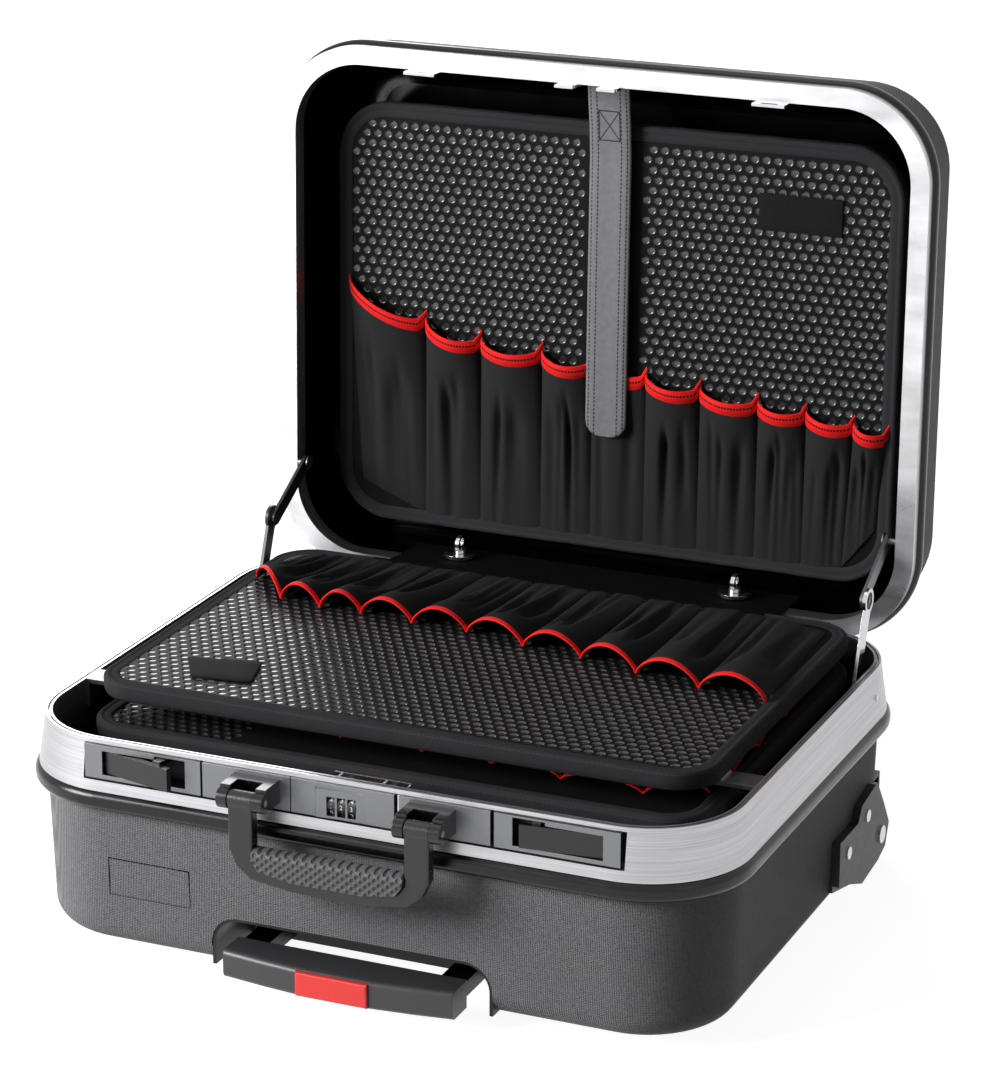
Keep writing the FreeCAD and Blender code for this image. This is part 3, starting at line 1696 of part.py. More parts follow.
# Lid, drawn closed with the hinge axis at y = z = 0 and stored open.

lid_middle = lid_rear - s.frame_depth / 2
lid_front = lid_rear - s.frame_depth
body = new_body("lid_frame_body")
sketch = new_sketch(body, "lid_frame_outline", "XY_Plane", lid_rim, y=lid_middle)
rounded(sketch, s.frame_width, s.frame_depth, s.corner_radius)
pad(body, "lid_frame_pad", sketch, s.lid_rim_height)
lip_inset = s.lid_rim_wall - s.lid_lip_wall
sketch = new_sketch(
    body, "lid_lip_outline", "XY_Plane", lid_rim + s.lid_rim_height, y=lid_middle
)
rounded(
    sketch,
    s.frame_width - 2 * lip_inset,
    s.frame_depth - 2 * lip_inset,
    s.corner_radius - lip_inset,
)
pad(body, "lid_lip_pad", sketch, s.lid_lip_height)
sketch = new_sketch(body, "lid_frame_inside", "XY_Plane", lid_rim, y=lid_middle)
rounded(
    sketch,
    s.frame_width - 2 * s.lid_rim_wall,
    s.frame_depth - 2 * s.lid_rim_wall,
    s.corner_radius - s.lid_rim_wall,
)
pocket(body, "lid_frame_hollow", sketch, s.lid_rim_height + s.lid_lip_height, up=True)
node("lid_frame", body, "lid")

body = new_body("lid_bead_body")
bead_z = lid_rim + s.lid_rim_height
sketch = new_sketch(body, "lid_bead_outline", "XY_Plane", bead_z, y=lid_middle)
rounded(
    sketch,
    s.frame_width + 2 * s.lid_bead_proud,
    s.frame_depth + 2 * s.lid_bead_proud,
    s.corner_radius + s.lid_bead_proud,
)
pad(body, "lid_bead_pad", sketch, s.lid_bead_height)
fillet(body, "lid_bead_low_round", s.lid_bead_round, at_height(bead_z))
fillet(
    body, "lid_bead_top_round", s.lid_bead_round, at_height(bead_z + s.lid_bead_height)
)
sketch = new_sketch(body, "lid_bead_inside", "XY_Plane", bead_z, y=lid_middle)
rounded(
    sketch,
    s.frame_width - 2 * s.lid_bead_wall,
    s.frame_depth - 2 * s.lid_bead_wall,
    s.corner_radius - s.lid_bead_wall,
)
pocket(body, "lid_bead_hollow", sketch, s.lid_bead_height, up=True)
node("lid_bead", body, "lid")

lid_shell_z = bead_z + s.lid_bead_height
lid_top = lid_rim + s.lid_depth
block = new_body("lid_block")
sketch = new_sketch(block, "lid_block_outline", "XY_Plane", lid_shell_z, y=lid_middle)
rounded(
    sketch,
    s.frame_width + 2 * s.lid_shell_proud,
    s.frame_depth + 2 * s.lid_shell_proud,
    s.corner_radius + s.lid_shell_proud,
)
lid_shell_height = s.lid_depth - s.lid_rim_height - s.lid_bead_height
pad(block, "lid_block_pad", sketch, lid_shell_height, taper=-s.lid_draft)
fillet(block, "lid_block_round", s.lid_back_round, at_height(lid_top))
core = new_body("lid_core")
sketch = new_sketch(core, "lid_core_outline", "XY_Plane", lid_shell_z, y=lid_middle)
lid_wall = s.lid_shell_wall - s.lid_shell_proud
rounded(
    sketch,
    s.frame_width - 2 * lid_wall,
    s.frame_depth - 2 * lid_wall,
    s.corner_radius - lid_wall,
)
core_height = lid_shell_height - s.lid_shell_wall
pad(core, "lid_core_pad", sketch, core_height, taper=-s.lid_draft)
fillet(core, "lid_core_round", s.lid_inner_round, at_height(lid_shell_z + core_height))
node("lid_shell", cut("lid_shell_cut", block, core), "lid")


def lid_y(rise):
    # From the lid's hinge side towards its front.
    return lid_rear - rise


def lid_z(depth):
    # From the lid's rim plane towards its back.
    return lid_rim + depth


keepers = []
keeper_edge = s.frame_depth - s.lid_rim_wall
keeper_ys = (lid_y(keeper_edge), lid_y(keeper_edge) + s.keeper_thickness)
for word, middle in (
    ("left", -s.latch_left_middle + s.hook_out),
    ("right", s.latch_right_middle - s.hook_out),
):
    half = s.latch_keeper_length / 2
    plate = box(
        "latch_keeper_plate_" + word,
        (middle - half, middle + half),
        keeper_ys,
        (lid_z(-s.latch_keeper_drop), lid_z(s.keeper_root)),
    )
    half = s.keeper_window_length / 2
    hook_low = hook_z[0] + s.hinge_drop - s.keeper_window_room
    hook_high = hook_z[1] + s.hinge_drop + s.keeper_window_room
    hole = box(
        "latch_keeper_window_" + word,
        (middle - half, middle + half),
        (keeper_ys[0] - s.keeper_thickness, keeper_ys[1] + s.keeper_thickness),
        (hook_low, hook_high),
    )
    keepers.append(cut("latch_keeper_" + word, plate, hole))
node("latch_keepers", fuse("latch_keepers_all", *keepers), "lid")
keepers = []
for number, middle in enumerate(lock_keepers_x):
    half = s.lock_keeper_length / 2
    plate = box(
        "lock_keeper_plate_%d" % number,
        (middle - half, middle + half),
        keeper_ys,
        (lid_z(-s.lock_keeper_drop), lid_z(s.keeper_root)),
    )
    low = lid_z(-s.lock_keeper_drop) + s.keeper_notch_low
    hole = box(
        "lock_keeper_notch_%d" % number,
        (middle + half - s.keeper_notch_depth, middle + half + s.keeper_notch_depth),
        (keeper_ys[0] - s.keeper_thickness, keeper_ys[1] + s.keeper_thickness),
        (low, low + s.keeper_notch_height),
    )
    keepers.append(cut("lock_keeper_%d" % number, plate, hole))
node("lock_keepers", fuse("lock_keepers_all", *keepers), "lid")

body = new_body("lid_board_body")
board_rise = (lid_board_high + s.lid_board_low) / 2
board_z = lid_z(s.lid_board_face)
sketch = new_sketch(body, "lid_board_outline", "XY_Plane", board_z, y=lid_y(board_rise))
rounded(
    sketch,
    2 * lid_board_half_width,
    lid_board_high - s.lid_board_low,
    s.lid_board_radius,
)
pad(body, "lid_board_pad", sketch, s.lid_board_thickness)
node("lid_board_panel", body, "lid")

pocket_side = lid_board_half_width - s.lid_pocket_side_gap
pocket_low = s.lid_board_low + s.lid_pocket_side_gap
pockets = slab(
    "lid_pockets_body",
    "XY_Plane",
    [
        (-pocket_side, lid_y(s.lid_pocket_left_top)),
        (-s.lid_pocket_middle_x, lid_y(s.lid_pocket_middle_top)),
        (pocket_side, lid_y(s.lid_pocket_right_top)),
        (pocket_side, lid_y(pocket_low + s.lid_pocket_corner)),
        (pocket_side - s.lid_pocket_corner, lid_y(pocket_low)),
        (-pocket_side + s.lid_pocket_corner, lid_y(pocket_low)),
        (-pocket_side, lid_y(pocket_low + s.lid_pocket_corner)),
    ],
    (board_z - s.lid_pocket_depth, board_z),
)
node("lid_board_pockets", pockets, "lid")

posts = []
post_end = lid_top - s.lid_shell_wall
for word, x in (("left", -s.post_offset), ("right", s.post_offset)):
    for part, rise in (("low", s.post_low), ("high", s.frame_depth - s.post_top_gap)):
        posts.append(
            rod(
                "post_%s_%s" % (word, part),
                s.post_radius,
                "Z",
                (board_z + s.lid_board_thickness, post_end),
                (x, lid_y(rise)),
            )
        )
node("lid_board_posts", fuse("lid_board_posts_all", *posts), "lid")

strap_z = board_z - s.lid_pocket_depth - s.strap_gap
strap_top_z = lid_z(s.strap_top_depth)
strap_high = lid_y(s.frame_depth - s.strap_top_gap)
strap = slab(
    "lid_strap_body",
    "YZ_Plane",
    [
        (lid_y(s.strap_bottom), strap_z - s.strap_thickness),
        (lid_y(s.frame_depth - s.strap_bend_gap), strap_z - s.strap_thickness),
        (strap_high, strap_top_z - s.strap_thickness),
        (strap_high, strap_top_z),
        (lid_y(s.frame_depth - s.strap_bend_gap), strap_z),
        (lid_y(s.strap_bottom), strap_z),
    ],
    (-s.strap_half_width, s.strap_half_width),
)
node("lid_strap", strap, "lid")


# Turn studs on the lid's hinge-side wall, through the flap.

stud_z = lid_z(s.stud_depth)
stud_bases = []
for word, sign in (("left", -1), ("right", 1)):
    x = sign * s.stud_offset
    spot = (x, stud_z)
    top = lid_y(s.stud_rise)
    foot = lid_y(s.lid_bead_wall)
    shank = rod("stud_shank_" + word, s.stud_shank_radius, "Y", (top, foot), spot)
    disc = rod(
        "stud_disc_" + word,
        s.stud_disc_radius,
        "Y",
        (top - s.stud_disc_height, top),
        spot,
    )
    pin_top = top - s.stud_disc_height - s.stud_pin_height
    pin = rod("stud_pin_" + word, s.stud_pin_radius, "Y", (pin_top, top), spot)
    stud_bases.append(fuse("stud_base_" + word, shank, disc, pin))
    tab_foot_y = top - s.stud_disc_height - s.tab_gap
    foot_disc = rod(
        "tab_foot_" + word,
        s.tab_foot_radius,
        "Y",
        (tab_foot_y - s.tab_foot_height, tab_foot_y),
        spot,
    )
    ring_y = tab_foot_y - s.tab_radius
    ring_x = (x - s.tab_thickness / 2, x + s.tab_thickness / 2)
    ring = rod("tab_ring_" + word, s.tab_radius, "X", ring_x, (ring_y, stud_z))
    ring_hole = rod(
        "tab_hole_" + word,
        s.tab_hole_radius,
        "X",
        (x - s.tab_thickness, x + s.tab_thickness),
        (ring_y - s.tab_hole_radius / 2, stud_z),
    )
    tab_bore = rod(
        "tab_bore_" + word,
        s.stud_pin_radius + s.running_gap,
        "Y",
        (pin_top - s.tab_gap, tab_foot_y + s.tab_gap),
        spot,
    )
    tab_raw = fuse("tab_raw_" + word, foot_disc, ring)
    node("stud_tab_" + word, cut("tab_cut_" + word, tab_raw, ring_hole, tab_bore), "lid")
node("stud_bases", fuse("stud_bases_all", *stud_bases), "lid")


# Flap between the middle board and the lid.

def thick(points, amount):
    return points + [(a, b + amount) for a, b in points[::-1]]


flap_line = [
    (flap_front, s.mid_board_top),
    (mid_board_back, s.mid_board_top),
    (s.frame_depth - s.flap_fall_gap, s.flap_fall_z),
    (s.frame_depth + s.flap_low_past, s.flap_low_z),
    (s.frame_depth + s.flap_back_past, s.flap_back_z),
]
flap = slab(
    "flap_body",
    "YZ_Plane",
    thick(flap_line, s.flap_thickness),
    (-s.flap_half_width, s.flap_half_width),
)
flap_holes = []
for word, sign in (("left", -1), ("right", 1)):
    x = sign * s.stud_offset
    spot = (x, hinge_y + lid_rim + s.stud_depth)
    flap_holes.append(
        rod(
            "flap_hole_" + word,
            s.stud_shank_radius + s.stud_hole_gap,
            "Z",
            (-s.hinge_drop - s.flap_low_z, s.mid_board_top),
            spot,
        )
    )
node("board_flap", cut("flap_cut", flap, *flap_holes))


# Tool boards in the base.

def base_board(name, top, front, back):
    body = new_body(name)
    sketch = new_sketch(
        body, name + "_outline", "XY_Plane", top - s.board_thickness, y=(front + back) / 2
    )
    rounded(sketch, 2 * board_half_width, back - front, s.board_radius)
    pad(body, name + "_pad", sketch, s.board_thickness)
    return body


low_panel = base_board(
    "low_board_body", -s.low_board_top, s.low_board_front, low_board_back
)
node("lower_board_panel", low_panel)
pocket_x = board_half_width - s.mid_pocket_side_gap
low_pockets = slab(
    "low_pockets_body",
    "XY_Plane",
    [
        (-s.low_pocket_start, s.low_pocket_left),
        (0, s.low_pocket_middle),
        (pocket_x, s.low_pocket_right),
        (pocket_x, low_board_back - s.board_radius),
        (-s.low_pocket_start, low_board_back - s.board_radius),
    ],
    (-s.low_board_top, -s.low_board_top + s.low_pocket_height),
)
node("lower_board_pockets", low_pockets)

panel = base_board(
    "mid_board_body", s.mid_board_top, s.mid_board_front, mid_board_back
)
rod_y = mid_board_back + s.board_rod_gap
rod_z = s.mid_board_top - s.board_thickness / 2
loop_radius = s.board_rod_radius + s.running_gap + s.board_loop_wall
loops = []
for word, number in (("left", -1), ("middle", 0), ("right", 1)):
    start = number * (board_rod_half - s.board_loop_inset) - s.board_loop_length / 2
    xs = (start, start + s.board_loop_length)
    loops.append(rod("board_loop_" + word, loop_radius, "X", xs, (rod_y, rod_z)))
    loops.append(
        box(
            "board_web_" + word,
            xs,
            (mid_board_back - s.board_loop_wall, rod_y),
            (rod_z - s.board_loop_wall / 2, rod_z + s.board_loop_wall / 2),
        )
    )
rod_span = (-board_rod_half, board_rod_half)
loop_bore = rod(
    "board_loop_bore",
    s.board_rod_radius + s.running_gap,
    "X",
    rod_span,
    (rod_y, rod_z),
)
panel = cut("mid_board_cut", fuse("mid_board_raw", panel, *loops), loop_bore)
node("middle_board_panel", panel)
mid_pockets = slab(
    "mid_pockets_body",
    "XY_Plane",
    [
        (-pocket_x, mid_board_back - s.mid_pocket_left_reach),
        (-s.mid_pocket_middle_x, mid_board_back - s.mid_pocket_middle_reach),
        (pocket_x, mid_board_back - s.mid_pocket_right_reach),
        (pocket_x, mid_board_back - s.board_radius),
        (pocket_x - s.board_radius, flap_front - s.mid_pocket_side_gap),
        (s.board_radius - pocket_x, flap_front - s.mid_pocket_side_gap),
        (-pocket_x, mid_board_back - s.board_radius),
    ],
    (s.mid_board_top, s.mid_board_top + s.mid_pocket_height),
)
node("middle_board_pockets", mid_pockets)

brackets = [rod("board_rod", s.board_rod_radius, "X", rod_span, (rod_y, rod_z))]
arm_line = [
    (rod_y - s.rod_arm_head, rod_z - s.rod_arm_head),
    (rod_y - s.rod_arm_head, rod_z + s.rod_arm_head),
    (rod_y + s.rod_arm_head, rod_z + s.rod_arm_head),
    (rod_y + s.rod_arm_head, 0),
    (s.frame_depth - s.base_rim_wall, -s.rod_arm_foot),
    (s.frame_depth - s.base_rim_wall, -s.rod_arm_low),
    (s.frame_depth - s.base_rim_wall - s.rod_arm_foot, -s.rod_arm_low),
    (rod_y - s.rod_arm_head, -s.rod_arm_foot),
]
trim = new_body("rod_arm_trim")
sketch = new_sketch(trim, "rod_arm_trim_outline", "XY_Plane", band_bottom, y=middle_y)
rounded(
    sketch,
    s.frame_width - 2 * s.base_rim_wall,
    s.frame_depth - 2 * s.base_rim_wall,
    s.corner_radius - s.base_rim_wall,
)
pad(trim, "rod_arm_trim_pad", sketch, 2 * s.base_band_height)
for word, sign in (("left", -1), ("right", 1)):
    ends = [sign * board_rod_half, sign * (board_rod_half + s.rod_arm_thickness)]
    if sign < 0:
        ends.reverse()
    arm = slab("rod_arm_" + word, "YZ_Plane", arm_line, ends)
    brackets.append(common("rod_arm_trimmed_" + word, arm, trim))
for word, sign in (("left", -1), ("right", 1)):

    def inward(a, b):
        ends = [sign * (wall_x - a), sign * (wall_x - b)]
        if ends[0].value > ends[1].value:
            ends.reverse()
        return ends

    ys = (s.rest_from_front, s.rest_from_front + s.rest_width)
    brackets.append(
        box("rest_ledge_" + word, inward(0, s.rest_reach), ys, (-s.rest_thickness, 0))
    )
    brackets.append(
        box(
            "rest_tab_" + word,
            inward(0, s.rest_thickness),
            ys,
            (-s.rest_tab_drop, -s.rest_thickness),
        )
    )
    brackets.append(
        box(
            "rest_pad_" + word,
            inward(s.rest_reach - s.rest_pad_length, s.rest_reach),
            ys,
            (0, s.mid_board_top - s.board_thickness),
        )
    )
node("board_brackets", fuse("board_brackets_all", *brackets))


# Lid stays: a lower link on the base and an upper link on the lid, on each side.

base_pivot = (s.frame_depth - s.stay_base_pivot_back, -s.stay_base_pivot_drop)
elbow = (s.frame_depth - s.stay_elbow_back, s.stay_elbow_z)
lid_pivot = (s.frame_depth + s.stay_lid_pivot_past, s.stay_lid_pivot_z)


def link(name, xs, first, second, first_radius, second_radius):
    # A flat bar between two pivots: its sides stand half a width off the line
    # between them, so it is drawn as a turned box with round ends.
    bar = doc.addObject("Part::Box", name + "_bar")
    bind(bar, "Length", xs[1] - xs[0])
    run = "sqrt(pow(%s; 2) + pow(%s; 2))" % (
        (size_of(second[0]) - first[0]).text,
        (size_of(second[1]) - first[1]).text,
    )
    bar.setExpression("Width", run)
    bind(bar, "Height", 2 * s.stay_half_width)
    turn = "atan2(%s; %s)" % (
        (size_of(second[1]) - first[1]).text,
        (size_of(second[0]) - first[0]).text,
    )
    bar.Placement = FreeCAD.Placement(V(), FreeCAD.Rotation(V(1, 0, 0), 45))
    bar.setExpression("Placement.Rotation.Angle", turn)
    bind(bar, "Placement.Base.x", xs[0])
    half_text = s.stay_half_width.text
    bar.setExpression(
        "Placement.Base.y", "%s + %s * sin(%s)" % (size_of(first[0]).text, half_text, turn)
    )
    bar.setExpression(
        "Placement.Base.z", "%s - %s * cos(%s)" % (size_of(first[1]).text, half_text, turn)
    )
    eyes = [
        rod(name + "_eye_first", first_radius, "X", xs, first),
        rod(name + "_eye_second", second_radius, "X", xs, second),
    ]
    return fuse(name, bar, *eyes)


upper_links = []
lower_links = []
base_pivots = []
lid_pivots = []
for word, sign in (("left", -1), ("right", 1)):

    def side(a, b):
        ends = [sign * size_of(a), sign * size_of(b)]
        if sign < 0:
            ends.reverse()
        return ends

    near = s.frame_width / 2 - s.stay_side_inset
    mid_side = near + s.stay_thickness
    far = mid_side + s.stay_gap
    far_end = far + s.stay_thickness
    upper = link(
        "upper_link_" + word,
        side(near, mid_side),
        lid_pivot,
        elbow,
        s.stay_half_width,
        s.stay_half_width,
    )
    upper_bore = rod(
        "upper_link_bore_" + word,
        s.stay_pin_radius + s.running_gap,
        "X",
        side(near - s.stay_gap, mid_side + s.stay_gap),
        lid_pivot,
    )
    elbow_pin = rod(
        "elbow_pin_" + word, s.stay_elbow_pin_radius, "X", side(mid_side, far_end), elbow
    )
    elbow_head = rod(
        "elbow_head_" + word,
        s.stay_rivet_radius,
        "X",
        side(mid_side, mid_side + s.stay_rivet_height),
        elbow,
    )
    upper_cut = cut("upper_link_cut_" + word, upper, upper_bore)
    upper_links.append(fuse("upper_link_whole_" + word, upper_cut, elbow_pin, elbow_head))
    lower = link(
        "lower_link_" + word,
        side(far, far_end),
        base_pivot,
        elbow,
        s.stay_half_width,
        s.stay_elbow_eye,
    )
    lower_bore = rod(
        "lower_link_bore_" + word,
        s.stay_pin_radius + s.running_gap,
        "X",
        side(far - s.stay_gap, far_end + s.stay_gap),
        base_pivot,
    )
    lower_slack = rod(
        "lower_link_slack_" + word,
        s.stay_elbow_pin_radius + s.stay_elbow_slack,
        "X",
        side(far - s.stay_gap, far_end + s.stay_gap),
        elbow,
    )
    lower_links.append(cut("lower_link_cut_" + word, lower, lower_bore, lower_slack))
    plate_in = wall_x - s.stay_plate_thickness
    plate = box(
        "stay_plate_" + word,
        side(plate_in, wall_x),
        (base_pivot[0] - s.stay_plate_half, base_pivot[0]),
        (base_pivot[1] - s.stay_pin_radius * 2, base_pivot[1] + s.stay_plate_half),
    )
    post = rod(
        "stay_post_" + word,
        s.stay_pin_radius,
        "X",
        side(far - s.stay_gap / 2, wall_x),
        base_pivot,
    )
    boss = rod(
        "stay_boss_" + word,
        s.stay_pin_radius * 2,
        "X",
        side(far_end + s.stay_gap / 2, wall_x),
        base_pivot,
    )
    whole = fuse("stay_base_raw_" + word, plate, post, boss)
    base_pivots.append(common("stay_base_trimmed_" + word, whole, trim))
    ring_x = s.frame_width / 2 - s.lid_rim_wall
    lid_post = rod(
        "stay_lid_post_" + word,
        s.stay_pin_radius,
        "X",
        side(near - s.stay_gap, ring_x),
        lid_pivot,
    )
    lid_head = rod(
        "stay_lid_head_" + word,
        s.stay_half_width,
        "X",
        side(near - 2 * s.stay_gap, near - s.stay_gap),
        lid_pivot,
    )
    lid_pivots.append(fuse("stay_lid_pivot_" + word, lid_post, lid_head))
node("stay_links_upper", fuse("stay_links_upper_all", *upper_links))
node("stay_links_lower", fuse("stay_links_lower_all", *lower_links))
node("stay_pivots_base", fuse("stay_pivots_base_all", *base_pivots))
node("stay_pivots_lid", fuse("stay_pivots_lid_all", *lid_pivots))


# Rivets on the rim frame and on the wheel housings.

pieces = list(rim_rivets)
for word, sign in (("left", -1), ("right", 1)):

    def side(a, b):
        ends = [sign * size_of(a), sign * size_of(b)]
        if sign < 0:
            ends.reverse()
        return ends

    for part, back, drop in (
        ("front", s.cheek_rivet_front_back, s.cheek_rivet_front_drop),
        ("top", s.cheek_rivet_top_back, s.cheek_rivet_top_drop),
    ):
        spot = (cheek_front + back, -drop)
        head = rod(
            "cheek_rivet_head_%s_%s" % (part, word),
            s.cheek_rivet_radius,
            "X",
            side(cheek_outer, cheek_outer + s.cheek_rivet_height),
            spot,
        )
        shank = rod(
            "cheek_rivet_shank_%s_%s" % (part, word),
            s.cheek_rivet_shank,
            "X",
            side(cheek_outer - s.cheek_rivet_reach, cheek_outer),
            spot,
        )
        pieces.append(fuse("cheek_rivet_%s_%s" % (part, word), head, shank))
node("rivets", fuse("rivets_all", *pieces))


doc.recompute()
for item in doc.Objects:
    if "Invalid" in item.State or "Error" in item.State:
        raise RuntimeError("not built: " + item.Name)
os.makedirs("parts", exist_ok=True)
for item in NODES:
    if item.Shape.isNull() or not item.Shape.isValid() or not item.Shape.Solids:
        raise RuntimeError("no valid solid: " + item.Label)
for item in NODES:
    item.Shape.exportStep("parts/%s.step" % item.Label)
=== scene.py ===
import math
import random

import bpy
from mathutils import Matrix, Vector

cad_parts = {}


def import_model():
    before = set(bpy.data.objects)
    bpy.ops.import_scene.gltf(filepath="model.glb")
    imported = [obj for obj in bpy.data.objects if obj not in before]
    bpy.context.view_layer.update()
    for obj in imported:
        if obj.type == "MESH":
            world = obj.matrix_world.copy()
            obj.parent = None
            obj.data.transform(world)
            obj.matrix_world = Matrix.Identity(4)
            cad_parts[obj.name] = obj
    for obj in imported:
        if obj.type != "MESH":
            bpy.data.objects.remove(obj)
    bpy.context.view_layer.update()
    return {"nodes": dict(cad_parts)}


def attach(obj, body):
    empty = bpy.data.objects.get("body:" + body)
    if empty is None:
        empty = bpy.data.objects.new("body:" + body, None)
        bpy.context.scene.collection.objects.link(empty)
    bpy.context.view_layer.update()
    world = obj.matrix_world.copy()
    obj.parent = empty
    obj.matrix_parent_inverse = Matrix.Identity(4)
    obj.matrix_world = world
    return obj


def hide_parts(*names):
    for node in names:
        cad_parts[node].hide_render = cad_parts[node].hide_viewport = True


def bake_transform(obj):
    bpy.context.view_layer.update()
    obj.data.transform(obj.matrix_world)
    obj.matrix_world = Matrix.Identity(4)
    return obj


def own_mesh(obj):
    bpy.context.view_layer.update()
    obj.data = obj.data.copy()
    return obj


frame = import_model()
nodes = frame["nodes"]

# Lengths are in millimetres in the case's own frame: x across from its middle, y back
# from the front of the rim and z up from the top of the base's rim. The lid's places are
# (x, v, w): v from the hinge side and w from the lid's rim into the lid.
ORIGIN_BACK = 239.99
STANDING_HEIGHT = 161
HINGE = (398.5, -9.8)
HINGE_TO_RIM = (1.5, 10.8)
LID_OPEN = math.radians(91.24)
FRAME_DEPTH = 400

# Tool boards: half width, near edge, far edge, corner radius, thickness.
LID_BOARD = (220, 30, 351, 40, 8)
LID_BOARD_FACE = 44
MIDDLE_BOARD = (223, 62, 373, 30, 10)
MIDDLE_BOARD_TOP = 12.5
LOWER_BOARD = (223, 50, 374, 30, 10)
LOWER_BOARD_TOP = -15


def base(x, y, z):
    return Vector((x, y - ORIGIN_BACK, z + STANDING_HEIGHT)) / 1000


def lid(x, v, w):
    ahead, above = HINGE_TO_RIM[0] - v, HINGE_TO_RIM[1] + w
    y = HINGE[0] + ahead * math.cos(LID_OPEN) + above * math.sin(LID_OPEN)
    z = HINGE[1] - ahead * math.sin(LID_OPEN) + above * math.cos(LID_OPEN)
    return base(x, y, z)


def on_lid_board(u, v, height):
    return lid(u, v, LID_BOARD_FACE - height)


def on_middle_board(u, v, height):
    return base(u, v, MIDDLE_BOARD_TOP + height)


def on_lower_board(u, v, height):
    return base(u, v, LOWER_BOARD_TOP + height)


def mixed(a, b, share):
    return a + (b - a) * share


def eased(amount):
    amount = min(max(amount, 0), 1)
    return amount * amount * (3 - 2 * amount)


def tone(red, green, blue):
    """A screen colour, 0 to 255, as the shader's linear one."""
    parts = [c / 255 for c in (red, green, blue)]
    linear = [c / 12.92 if c <= 0.04045 else ((c + 0.055) / 1.055) ** 2.4 for c in parts]
    return (*linear, 1)


# Materials


# A pattern's wave of 1 mm, in the shader's metres and radians.
WAVE = 6283


